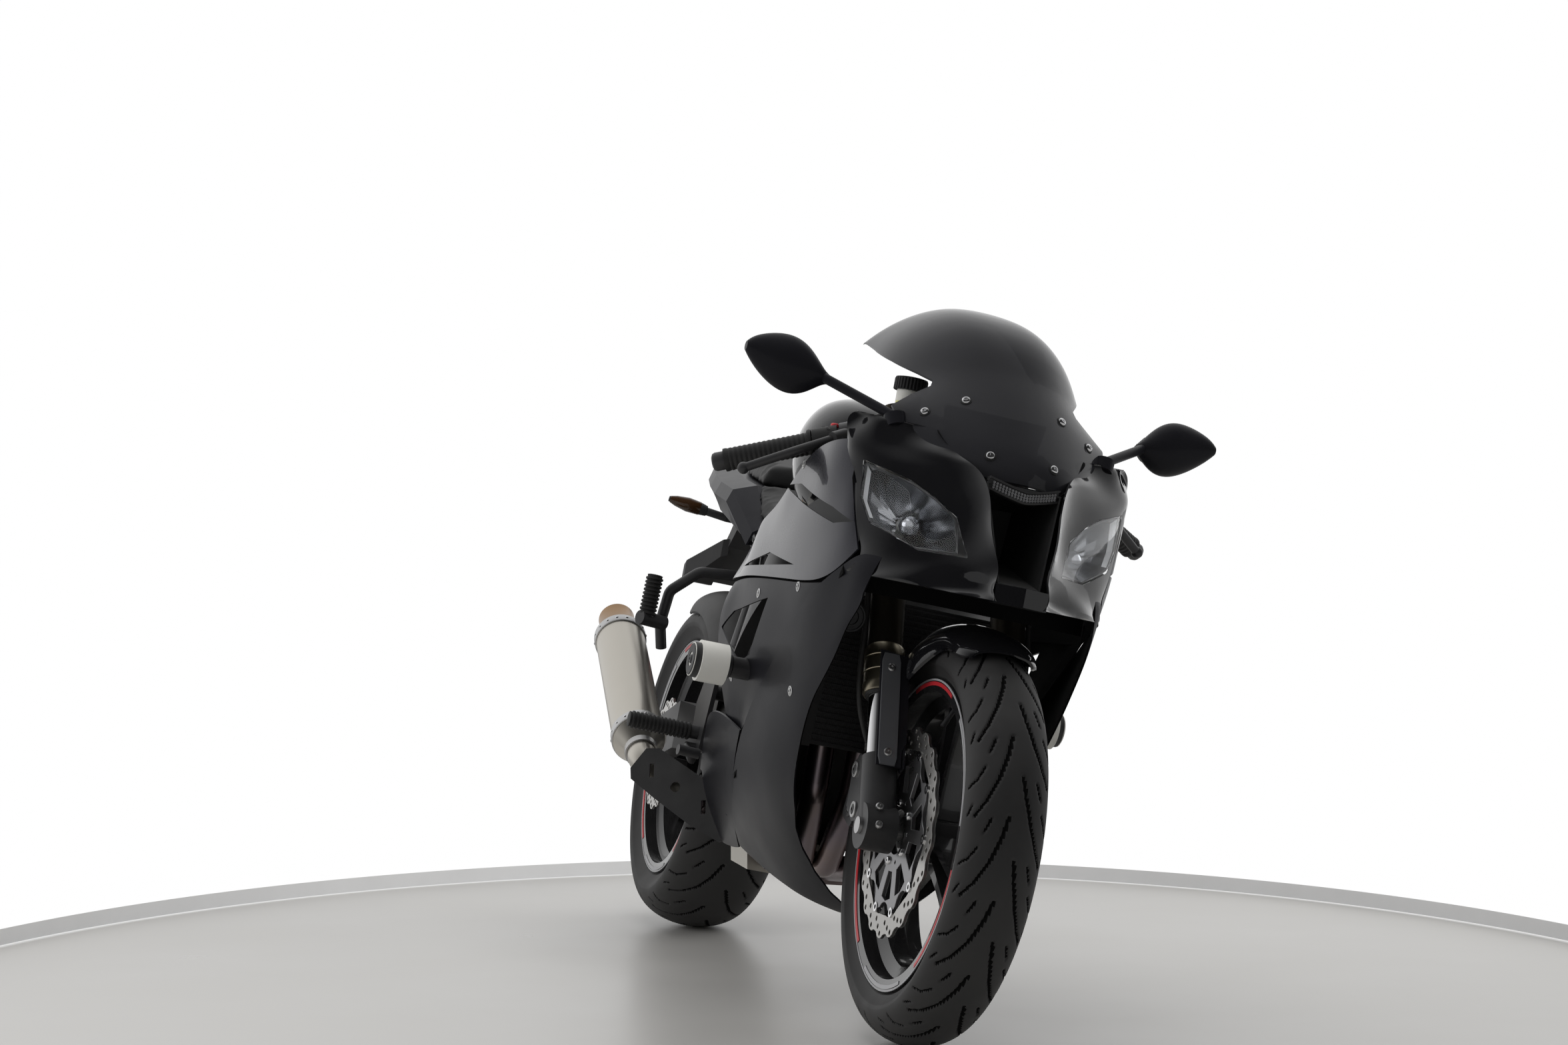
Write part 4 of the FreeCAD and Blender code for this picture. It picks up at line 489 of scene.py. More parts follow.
def show(name: str, data: bpy.types.ID) -> bpy.types.Object:
    """Put new data into the scene as an object."""
    thing = bpy.data.objects.new(name, data)
    bpy.context.scene.collection.objects.link(thing)
    return thing


# Making meshes


def spot_on_circle(centre: Vector, across: Vector, up: Vector, radius: float, angle: float) -> Vector:
    """Point on a circle.

    Args:
        centre: The circle's middle.
        across: Unit direction at angle 0.
        up: Unit direction at a quarter turn.
        radius: The circle's radius.
        angle: Angle in radians.

    Returns:
        The point.
    """
    return centre + across * (radius * math.cos(angle)) + up * (radius * math.sin(angle))


def square_to(axis: Vector) -> tuple[Vector, Vector]:
    """Give two unit directions square to an axis and to each other."""
    along = axis.normalized()
    across = along.cross(UP if abs(along.z) < 0.9 else ACROSS).normalized()
    return across, along.cross(across).normalized()


def polar(radius: float, angle: float) -> tuple[float, float]:
    """Point of a flat outline, from its distance to the middle and its angle."""
    return radius * math.cos(angle), radius * math.sin(angle)


def circle(middle: tuple[float, float], radius: float, count: int = 12) -> list[tuple[float, float]]:
    """Round hole or disc as an outline with a number of points."""
    spots = [polar(radius, FULL_TURN * k / count) for k in range(count)]
    return [(middle[0] + u, middle[1] + v) for u, v in spots]


@dataclass
class Form:
    """Points and faces of one piece in upright millimetres, and the angle that keeps an edge sharp."""

    sharp: float = 38.0
    points: list[Vector] = field(default_factory=list)
    faces: list[tuple[int, ...]] = field(default_factory=list)

    def skin(self, rows: list[list[Vector]], round_rows: bool = False, loop: bool = False,
             caps: bool = False) -> None:
        """Add a surface through rows of points.

        Args:
            rows: Rows with equal numbers of points.
            round_rows: Join each row's last point to its first.
            loop: Join the last row to the first.
            caps: Close the first and the last row with a face.
        """
        start, count = len(self.points), len(rows[0])
        for row in rows:
            self.points.extend(row)
        for i in range(len(rows) if loop else len(rows) - 1):
            here, there = start + i * count, start + (i + 1) % len(rows) * count
            for k in range(count if round_rows else count - 1):
                m = (k + 1) % count
                self.faces.append((here + k, here + m, there + m, there + k))
        if caps:
            last = start + (len(rows) - 1) * count
            self.faces.append(tuple(start + k for k in reversed(range(count))))
            self.faces.append(tuple(last + k for k in range(count)))

    def turned(self, start: Vector, axis: Vector, profile: list[tuple[float, float]], steps: int = 32,
               sweep: tuple[float, float] = (0.0, 360.0), hollow: bool = False) -> None:
        """Add a form turned about an axis. An outline that doesn't end on the axis is closed.

        Args:
            start: Point on the axis that distances count from.
            axis: Direction of the axis.
            profile: Outline as (distance along, radius).
            steps: Points round a full turn.
            sweep: First and last angle in degrees.
            hollow: Leave the outline open.
        """
        along = axis.normalized()
        across, up = square_to(axis)
        closed = profile[-1][1] > 0 and not hollow
        full = sweep[1] - sweep[0] >= 360.0
        count = steps if full else max(2, int(steps * (sweep[1] - sweep[0]) / 360) + 1)
        rows = []
        for i in range(count):
            angle = math.radians(sweep[0] + (sweep[1] - sweep[0]) * (i / (count if full else count - 1)))
            rows.append([spot_on_circle(start + along * d, across, up, r, angle) for d, r in profile])
        self.skin(rows, round_rows=closed, loop=full, caps=closed and not full)

    def bolt(self, centre: Vector, out: Vector, radius: float, height: float) -> None:
        """Add a button-headed bolt with a six-sided socket.

        Args:
            centre: Middle of the head's seat.
            out: Direction that the head faces.
            radius: Head radius.
            height: Head height.
        """
        across, up = square_to(out)
        along = out.normalized()
        socket = [0.42 * math.cos(math.pi / 6) / math.cos(math.pi * (k % 3 - 1) / 9 * 0.9) for k in range(18)]
        head = ((-0.5, 1.0), (0.35, 1.0), (0.75, 0.86), (1.0, 0.6), (1.0, 0.5))
        rings = [(d, [r] * 18) for d, r in head] + [(1.0, socket), (0.3, socket)]
        self.skin([[spot_on_circle(centre + along * (height * d), across, up, radius * share, math.pi * k / 9)
                    for k, share in enumerate(shares)] for d, shares in rings], round_rows=True, caps=True)

    def pipe(self, path: list[Vector], radius: float, sides: int = 12) -> None:
        """Add a round bar along a path.

        Args:
            path: Points of its middle line.
            radius: Its radius.
            sides: Points round it.
        """
        across, _ = square_to(path[1] - path[0])
        rows = []
        for i, point in enumerate(path):
            run = (path[min(i + 1, len(path) - 1)] - path[max(i - 1, 0)]).normalized()
            across = (across - run * across.dot(run)).normalized()
            up = run.cross(across)
            rows.append([spot_on_circle(point, across, up, radius, FULL_TURN * k / sides)
                         for k in range(sides)])
        self.skin(rows, round_rows=True, caps=True)

    def block(self, centre: Vector, across: Vector, up: Vector, size: tuple[float, float, float]) -> None:
        """Add a small squared block.

        Args:
            centre: Its middle.
            across: Direction of its first size.
            up: Direction of its second size.
            size: Full sizes across, up and through.
        """
        a, b = across.normalized() * (size[0] / 2), up.normalized() * (size[1] / 2)
        c = across.cross(up).normalized() * (size[2] / 2)
        self.skin([[centre - a - b + c * s, centre + a - b + c * s, centre + a + b + c * s,
                    centre - a + b + c * s] for s in (-1, 1)], round_rows=True, caps=True)

    def plate(self, outlines: list[list[tuple[float, float]]], thickness: float, origin: Vector,
              across: Vector, up: Vector, edge: float = 0.0) -> None:
        """Add a flat plate with holes, whose rims stay sharp.

        Args:
            outlines: The outer outline and the holes, each as (across, up) points.
            thickness: Full thickness.
            origin: Where the outlines' zero point goes.
            across: Direction of the first number.
            up: Direction of the second number.
            edge: Size of the broken edge.
        """
        self.sharp = PLATE_SHARP
        curve = bpy.data.curves.new("outline", "CURVE")
        curve.dimensions, curve.fill_mode = "2D", "BOTH"
        curve.extrude, curve.bevel_depth, curve.bevel_resolution = thickness / 2 - edge, edge, 0
        for line in outlines:
            spline = curve.splines.new("POLY")
            spline.points.add(len(line) - 1)
            spline.use_cyclic_u = True
            for point, (u, v) in zip(spline.points, line):
                point.co = (u, v, 0.0, 1.0)
        holder = bpy.data.objects.new("outline", curve)
        mesh = bpy.data.meshes.new_from_object(holder)
        start = len(self.points)
        a, b = across.normalized(), up.normalized()
        c = a.cross(b).normalized()
        self.points.extend(origin + a * v.co.x + b * v.co.y + c * v.co.z for v in mesh.vertices)
        self.faces.extend(tuple(start + i for i in face.vertices) for face in mesh.polygons)
        bpy.data.objects.remove(holder)
        bpy.data.curves.remove(curve)
        bpy.data.meshes.remove(mesh)


def forms(count: int) -> list[Form]:
    """Start some empty forms."""
    return [Form() for _ in range(count)]


@dataclass
class Bench:
    """Turns forms into finished pieces that ride on the bike's bodies."""

    matrix: Matrix
    paint: Paintbox
    nodes: dict[str, bpy.types.Object]
    trees: dict[str, BVHTree] = field(default_factory=dict)

    def hang(self, name: str, form: Form, finish: Finish, body: str = "chassis",
             slot: str = "") -> bpy.types.Object:
        """Make a piece and hang it on a body.

        Args:
            name: The piece's name.
            form: Its points and faces.
            finish: Its finish.
            body: The body that it rides on.
            slot: The record's material slot, where it isn't the finish's usual one. Not used.

        Returns:
            The piece.
        """
        mesh = bpy.data.meshes.new(name)
        mesh.from_pydata([self.matrix @ (point * MM) for point in form.points], [], form.faces)
        work = bmesh.new()
        work.from_mesh(mesh)
        bmesh.ops.remove_doubles(work, verts=work.verts, dist=MERGE_WITHIN)
        bmesh.ops.recalc_face_normals(work, faces=work.faces)
        work.to_mesh(mesh)
        work.free()
        mesh.shade_smooth()
        mesh.set_sharp_from_angle(angle=math.radians(form.sharp))
        piece = show(name, mesh)
        self.paint.dress(piece, finish)
        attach(piece, body)
        LOG.info("%s: %d faces", name, len(mesh.polygons))
        return piece

    def hang_all(self, body: str, *rows: tuple) -> None:
        """Hang several pieces on one body, each given as its name, form, finish and any other slot."""
        for name, form, finish, *slot in rows:
            self.hang(name, form, finish, body, *slot)

    def on_skin(self, node: str, near: tuple[float, float, float]) -> tuple[Vector, Vector]:
        """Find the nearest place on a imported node's surface.

        Args:
            node: The node's name.
            near: Upright place in millimetres.

        Returns:
            The upright place on the surface in millimetres, and the surface's outward direction.
        """
        if node not in self.trees:
            mesh = self.nodes[node].data
            self.trees[node] = BVHTree.FromPolygons([v.co for v in mesh.vertices],
                                                    [tuple(face.vertices) for face in mesh.polygons])
        here = self.matrix @ Vector([value * MM for value in near])
        spot, normal, _, _ = self.trees[node].find_nearest(here)
        back = self.matrix.inverted()
        return (back @ spot) / MM, (back.to_3x3() @ normal).normalized()


@dataclass
class Part:
    """A group of pieces that is added to the bike."""

    bench: Bench


# Wheels


@dataclass
class RoadTyre(Part):
    """Radial road tyre with its carved tread, beads and sidewall rings, and painted shade on the groove
    floors.
    """

    node: str
    body: str
    axle: tuple[float, float]
    width: float
    rim_width: float
    crown_share: float = 0.58
    pitches: int = 16
    steps: int = 44
    across: int = 72
    groove_depth: float = 3.6
    groove_spread: float = 0.8
    groove_bank: float = 1.4
    groove_lean: float = 0.3
    shaded_depth_share: float = 0.6
    grooves: tuple = (
        (1.8, ((0.0, 0.08), (0.28, 0.16), (0.58, 0.28), (0.86, 0.46), (1.05, 0.64))),
        (1.3, ((0.42, 0.5), (0.58, 0.64), (0.68, 0.84))),
        (1.1, ((0.05, 0.34), (0.24, 0.44))),
        (1.1, ((0.9, 0.7), (1.04, 0.8))),
    )

    def section(self) -> list[tuple[float, float]]:
        """Section over the crown.

        Returns:
            The (x, radius) points from the left edge of the crown to the right one.
        """
        radius = self.axle[1]
        rise = (radius - BEAD_FLANGE + 7) * self.crown_share
        angles = [math.radians(-90 + 180 * k / self.across) for k in range(self.across + 1)]
        return [(self.width / 2 * math.sin(angle), radius - rise + rise * math.cos(angle))
                for angle in angles]

    def carving(self, arc: float) -> np.ndarray:
        """Depth of the grooves over one pitch of the tread.

        Args:
            arc: Half of the crown's length across, in millimetres.

        Returns:
            Depths in millimetres, by step round and point across.
        """
        pitch = FULL_TURN * self.axle[1] / self.pitches
        round_mm = np.arange(self.steps) / self.steps * pitch
        across_mm = (np.arange(self.across + 1) / self.across * 2 - 1) * arc
        u, v = np.meshgrid(round_mm, across_mm, indexing="ij")
        depth = np.zeros_like(u)
        for wide, line in self.grooves:
            for side, shift in ((1, 0.0), (-1, 0.5)):
                spots = [((shift - a) * pitch, side * b * arc) for a, b in line]
                for (u0, v0), (u1, v1) in zip(spots, spots[1:]):
                    run = math.hypot(u1 - u0, v1 - v0)
                    for lap in (-pitch, 0.0, pitch, 2 * pitch):
                        du, dv = u - u0 - lap, v - v0
                        t = np.clip((du * (u1 - u0) + dv * (v1 - v0)) / run**2, 0, 1)
                        far = np.hypot(du - t * (u1 - u0), dv - t * (v1 - v0))
                        cut = np.clip((wide + self.groove_spread - far) / self.groove_bank, 0, 1)
                        depth = np.maximum(depth, cut * self.groove_depth)
        return depth

    def build(self) -> None:
        """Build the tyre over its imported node."""
        crown = self.section()
        depth = self.carving(sum(math.dist(a, b) for a, b in zip(crown, crown[1:])) / 2)
        bead = self.rim_width / 2 - 7
        x, r = crown[-1]
        wall = [(x + (bead - x) * share + proud, r + (BEAD_FLANGE - r) * share)
                for share, proud in ((0.1, 0.6), (0.16, 1.5), (0.22, 1.6), (0.28, 0.9), (0.5, 1.2),
                                     (0.72, 1.0), (0.78, 1.9), (0.84, 1.9), (0.9, 0.9), (1.0, 0.4))]
        wall += [(bead - 1.0, BEAD_FLANGE - 8), (bead - 4.0, BEAD_FLANGE - 12)]
        rows = []
        total = self.pitches * self.steps
        y, z = self.axle
        for i in range(total):
            cut = depth[i % self.steps]
            row = [(-x, r) for x, r in reversed(wall)]
            row += [(x - cut[k] * self.groove_lean * x / (self.width / 2), r - cut[k])
                    for k, (x, r) in enumerate(crown)]
            sine, cosine = math.sin(FULL_TURN * i / total), math.cos(FULL_TURN * i / total)
            rows.append([Vector((x, y + r * sine, z + r * cosine)) for x, r in row + wall])
        form = Form(60)
        form.skin(rows, loop=True)
        tyre = self.bench.hang(self.node + "_carved", form, TYRE_RUBBER, self.body)
        # Faces deep in the grooves get the near-black finish: painted shade on the groove floors.
        deep = np.tile(depth > self.groove_depth * self.shaded_depth_share, (self.pitches, 1)).astype(int)
        corners = deep + np.roll(deep, -1, axis=0)
        shaded_floors = np.zeros((total, len(rows[0]) - 1), dtype=int)
        shaded_floors[:, len(wall):len(wall) + self.across] = corners[:, :-1] + corners[:, 1:] > 1
        tyre.data.materials.append(self.bench.paint.get(GROOVE_SHADE_BLACK))
        tyre.data.polygons.foreach_set("material_index", shaded_floors.ravel())
        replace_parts(tyre, self.node)


@dataclass
class WheelTrim(Part):
    """Rim tape, the pale lip line, the valve and the bearing seals of a wheel."""

    body: str
    axle: tuple[float, float]
    face: float
    hub: float
    bore: float

    def build(self) -> None:
        """Build the trim on both sides of the wheel."""
        centre = Vector((0, *self.axle))
        face, hub, bore, flange = self.face, self.hub, self.bore, BEAD_FLANGE
        red, grey, lips, seals, valve = forms(5)
        for side in Side:
            for tape, first in ((red, 8), (grey, 68)):
                for start in (first, first + 120, first + 240):
                    tape.turned(centre, side.out, [(face - 1.1, flange - 9.6), (face - 0.1, flange - 9.6),
                                                   (face + 0.5, flange - 4), (face - 0.3, flange - 4)],
                                180, (start, start + 44))
            lips.turned(centre, side.out, [(face - 0.4, flange - 2.6), (face + 0.5, flange - 2.4),
                                           (face + 0.5, flange + 0.2), (face - 0.6, flange + 0.4)], 160)
            seals.turned(centre, side.out,
                         [(hub - 2, bore + 1), (hub + 1.2, bore + 1.5), (hub + 1.6, bore + 8),
                                            (hub + 0.4, bore + 10), (hub - 2, bore + 10)], 40)
        valve.turned(Vector((-12, self.axle[0], self.axle[1] + flange - 36)), Vector((-0.5, 0, -1)),
                     [(0, 0), (0, 6), (4, 6), (5, 3.6), (20, 3.4), (21, 4.2), (34, 4.2), (35, 3.4), (35, 0)],
                     18)
        end = self.body.replace("_wheel", "")
        self.bench.hang_all(
            self.body, (end + "_rim_tape_red", red, TAPE_RED), (end + "_rim_tape_grey", grey, TAPE_GREY),
            (end + "_rim_lip_line", lips, TAPE_GREY), (end + "_bearing_seals", seals, SOFT_RUBBER),
            (end + "_valve", valve, BLACK_CAST))


@dataclass
class PetalDisc(Part):
    """Petal brake disc: drilled band, webbed carrier and the bobbins between them."""

    node: str
    body: str
    axle: tuple[float, float]
    places: tuple[float, ...]
    radius: float = 155.0
    band: float = 34.0
    petals: int = 20
    bobbins: int = 10
    hole: float = 33.0
    thickness: float = 5.0

    def wave(self, radius: float, swing: float, waves: int) -> list[tuple[float, float]]:
        """Wavy round outline.

        Args:
            radius: Its middle radius.
            swing: How far it waves in and out.
            waves: Waves round it.

        Returns:
            The outline.
        """
        points = []
        for k in range(waves * 10):
            angle = FULL_TURN * k / (waves * 10)
            bump = math.cos(waves * angle)
            points.append(polar(radius + swing * math.copysign(abs(bump) ** 0.6, bump), angle))
        return points

    def build(self) -> None:
        """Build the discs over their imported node."""
        inner = self.radius - self.band
        band, carrier, studs = forms(3)
        lines = [self.wave(self.radius - 3.5, 3.5, self.petals), self.wave(inner + 2, 2, self.bobbins)]
        for k in range(self.petals):
            for share, turn in ((0.8, 0.0), (0.56, 0.3), (0.32, 0.62)):
                spot = polar(inner + self.band * share, FULL_TURN * (k + turn) / self.petals)
                lines.append(circle(spot, 4.3))
        hub = [self.wave(inner - 11, 8, self.bobbins), circle((0, 0), self.hole, 40)]
        low, high = self.hole + 25, inner - 20
        spread = FULL_TURN / self.bobbins
        for k in range(self.bobbins):
            angle = spread * (k + 0.5)
            window = ((low, -0.26), (low, 0.26), (high * 0.97, 0.34), (high, 0.0), (high * 0.97, -0.34))
            hub += [[polar(r, angle + t * spread) for r, t in window],
                    circle(polar(self.hole + 12, angle - spread / 2), 3.4, 10)]
        for x in self.places:
            origin, out = Vector((x, *self.axle)), Vector((math.copysign(1, x), 0, 0))
            band.plate(lines, self.thickness, origin, BACK, UP, 0.4)
            carrier.plate(hub, self.thickness + 1.4, origin, BACK, UP, 0.6)
            for k in range(self.bobbins):
                studs.turned(spot_on_circle(origin, BACK, UP, inner - 1.5, FULL_TURN * k / self.bobbins), out,
                             [(-4.4, 3.6), (-4.4, 7.4), (-3.4, 7.6), (3.4, 7.6), (4.4, 7.4), (4.4, 3.6)], 18)
            for k in range(5):
                centre = spot_on_circle(origin, BACK, UP, self.hole + 12, FULL_TURN * k / 5)
                studs.bolt(centre + out * 3.4, out, 6.2, 4.0)
        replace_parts(self.bench.hang(self.node + "_band", band, DISC_STEEL, self.body), self.node)
        self.bench.hang_all(self.body, (self.node + "_carrier", carrier, CARRIER_ALLOY),
                            (self.node + "_bobbins", studs, POLISHED, "disc_steel"))


# Steering


def smooth_path(points: list[Vector], steps: int) -> list[Vector]:
    """Rounded line through points.

    Args:
        points: Points that the line passes.
        steps: Points added in each stretch.

    Returns:
        The points of the line.
    """
    ends = [points[0] * 2 - points[1], *points, points[-1] * 2 - points[-2]]
    line = []
    for a, b, c, d in zip(ends, ends[1:], ends[2:], ends[3:]):
        for k in range(steps):
            t = k / steps
            line.append(0.5 * (b * 2 + (c - a) * t + (a * 2 - b * 5 + c * 4 - d) * t**2
                               + (b * 3 - a - c * 3 + d) * t**3))
    return [*line, points[-1]]


@dataclass
class ForkTrim(Part):
    """Collars, plates, bolts, caps, hoses and caliper fittings of the upside-down fork."""

    leg: float = 98.0
    low: float = 214.0
    top: float = 700.0
    caliper: tuple[float, float] = (102.1, 98.6)
    hose: tuple = ((92, 66, 152), (104, 60, 178), (120, 40, 208), (129, 20, 250), (131, 0, 320),
                   (130, -5, 400), (129, 0, 470), (126, 12, 500))

    def build(self) -> None:
        """Build everything small on the fork."""
        run, square = (fork_mm(*step) - fork_mm(0, 0, 0) for step in ((0, 0, 1), (0, 1, 0)))
        low, top, leg = self.low, self.top, self.leg
        collars, lines, caps, shrouds, steel, black, hoses, plates = forms(8)
        for side in Side:
            out, foot = side.out, side.fork(leg, 0, 0)
            collars.turned(foot, run, [(low - 3, 27), (low - 3, 29.6), (low, 31.2), (low + 12, 31.4),
                                       (low + 13, 30.4), (low + 30, 30.4), (low + 31, 31.2), (low + 50, 31.2),
                                       (low + 51, 30.2), (low + 53, 30.2), (low + 54, 31.0), (low + 70, 30.4),
                                       (low + 74, 27.4)], 64)
            lines.turned(foot, run, [(low - 6, 22), (low - 6, 26.4), (low - 3.2, 27.4), (low - 3.2, 22)], 48)
            caps.turned(foot, run, [(top - 8, 24), (top - 6, 24.6), (top + 3, 24.2), (top + 5, 21),
                                    (top + 5, 12), (top + 10, 11.4), (top + 11, 9), (top + 11, 0)], 36)
            plates.plate([[(-9, 84), (13, 84), (16, 96), (16, 250), (13, 262), (-9, 262), (-12, 250),
                           (-12, 96)],
                          circle((2, 104), 5.4), circle((2, 240), 5.4)], 3.0, side.fork(leg, -39.4, 0), out,
                         run, 0.5)
            shrouds.plate([[(-36, 84), (-36, 262), (16, 262), (22, 250), (22, 160), (-4, 120), (-20, 84)]],
                          4.0, side.fork(leg - 24.5, 0, 0), square, run, 0.8)
            shrouds.plate([[(-8, 84), (18, 84), (18, 268), (-27, 262), (-27, 124)]], 3.0,
                          side.fork(leg, -36.2, 0), out, run, 0.6)
            for along in (104, 240):
                steel.bolt(side.fork(leg + 2, -39.6, along), -square, 6.6, 3.4)
            for along in (48, 112):
                steel.turned(side.fork(leg + 16, 58, along), out,
                             [(-2, 7.2), (-2, 12.4), (2.4, 12.4), (3.2, 11.6), (3.2, 8), (1.2, 7.2)], 30)
                black.bolt(side.fork(leg + 17, 58, along), out, 7.0, 3.0)
            for share in (-26, 26):
                centre = side.fork(100.0, self.caliper[0] + 0.695 * share, self.caliper[1] - 0.719 * share)
                black.turned(centre, out,
                             [(-2, 17), (1.6, 17), (2.6, 15.6), (2.6, 11), (1.2, 10.4), (1.2, 0)], 36)
                steel.turned(centre, out, [(1.0, 9.2), (2.2, 9.6), (2.2, 6.4), (1.0, 6.0)], 30)
            for along in (20, -8):
                steel.bolt(side.fork(leg + 8, -34, along), -square, 6.0, 4.0)
            path = [side.fork(*spot) for spot in self.hose]
            hoses.pipe(smooth_path(path, 8), 4.2)
            steel.turned(path[0], run, [(-4, 0), (-4, 8), (8, 8), (10, 5.4), (22, 5.2), (22, 0)], 20)
        self.bench.hang_all(
            "steering", ("fork_collars", collars, CHAMPAGNE), ("fork_seals", lines, SOFT_RUBBER),
            ("fork_caps", caps, FORK_BRONZE), ("fork_guard_faces", plates, GUARD_GREY),
            ("fork_shrouds", shrouds, SATIN_PANEL), ("fork_bolts", steel, BARE_ALUMINIUM),
            ("caliper_caps", black, BLACK_CAST), ("brake_lines", hoses, SOFT_RUBBER))


@dataclass
class Controls(Part):
    """Ribbed grips, bar ends, switches, the fluid pot, and the clamp's nut and lock."""

    grip_in: tuple[float, float, float] = (226, 290, 858)
    grip_out: tuple[float, float, float] = (345, 339, 808)
    grip_ribs: int = 16
    pot: tuple[float, float, float] = (-104, 226, 916)
    knurls: int = 30

    def build(self) -> None:
        """Build the controls on the bars."""
        grips, ends, knobs, reds = forms(4)
        for side in Side:
            inside, outside = side.at(*self.grip_in), side.at(*self.grip_out)
            run = (outside - inside).normalized()
            length = (outside - inside).length
            profile = [(-2, 12), (-2, 21), (1, 22), (4, 21), (5, 18)]
            for k in range(self.grip_ribs):
                at = 8 + (length - 14) * k / self.grip_ribs
                profile += [(at, 17.2), (at + 1, 17.9), (at + 4.2, 17.9), (at + 5.2, 17.2)]
            profile += [(length - 4, 18.4), (length, 18.2), (length, 12)]
            grips.turned(inside, run, profile, 40)
            ends.turned(outside, run, [(0.5, 11), (0.5, 14.6), (14, 14.8), (18, 13), (20, 9), (20, 0)], 36)
            for at, turn, size in ((-34, 1.5, 7), (-20, 1.1, 6), (-22, 2.2, 6)):
                centre = spot_on_circle(inside + run * at, BACK, UP, 20.5, turn)
                target = reds if at == -34 and side is Side.RIGHT else knobs
                target.turned(centre, centre - inside - run * at,
                              [(-2, size), (2.4, size), (3.6, size - 1.4), (3.6, 0)], 20)
        self.bench.hang_all(
            "steering", ("grip_rubbers", grips, SOFT_RUBBER), ("bar_ends", ends, BLACK_CAST),
            ("switch_knobs", knobs, BLACK_PLASTIC), ("stop_switch", reds, TAPE_RED, "black_plastic"))
        self._pot()
        self._clamp_top()

    def _pot(self) -> None:
        """Build the clear fluid pot with its fluid and knurled cap."""
        foot = Vector(self.pot)
        fluid, wall, cap = Form(), Form(), Form(30)
        fluid.turned(foot, UP, [(-1, 0), (-1, 16), (2, 19.4), (28, 19.6), (28, 0)], 36)
        wall.turned(foot, UP, [(28, 18), (28, 19.7), (47, 20.0), (48, 18)], 36)
        rows, steps = [], 4 * self.knurls
        for height, radius, knurl in ((46, 24.6, 0.0), (47, 25.6, 0.6), (63, 25.6, 0.6), (66, 24.4, 0.3),
                                      (67, 20, 0.0), (67.4, 8, 0.0)):
            rows.append([spot_on_circle(foot + UP * height, ACROSS, BACK,
                                        radius + (knurl if k % 4 < 2 else -knurl), FULL_TURN * k / steps)
                         for k in range(steps)])
        cap.skin(rows, round_rows=True, caps=True)
        self.bench.hang_all("steering", ("brake_fluid", fluid, BRAKE_FLUID),
                            ("fluid_pot_wall", wall, WHITE_NYLON, "clear_lens"),
                            ("fluid_pot_cap", cap, BLACK_PLASTIC))

    def _clamp_top(self) -> None:
        """Build the stem nut, the key barrel and the pinch bolts on the upper clamp."""
        zero = fork_mm(0, 0, 0)
        run = fork_mm(0, 0, 1) - zero
        nut, bolts = Form(30), Form()
        nut.turned(fork_mm(0, 29.8, 693), run,
                   [(0, 20), (3, 20.6), (6, 20), (8, 14), (8, 9), (4, 8.6), (4, 0)], 6)
        nut.turned(fork_mm(0, -8, 684), run, [(-2, 18), (6, 18), (8, 16.6), (8, 4), (5, 3.6), (5, 0)], 36)
        for side in Side:
            bolts.bolt(side.fork(98, -37, 676), zero - fork_mm(0, 1, 0), 5.5, 4)
        self.bench.hang_all("steering", ("stem_nut_and_lock", nut, BARE_ALUMINIUM),
                            ("clamp_bolts", bolts, BARE_ALUMINIUM))


# Body


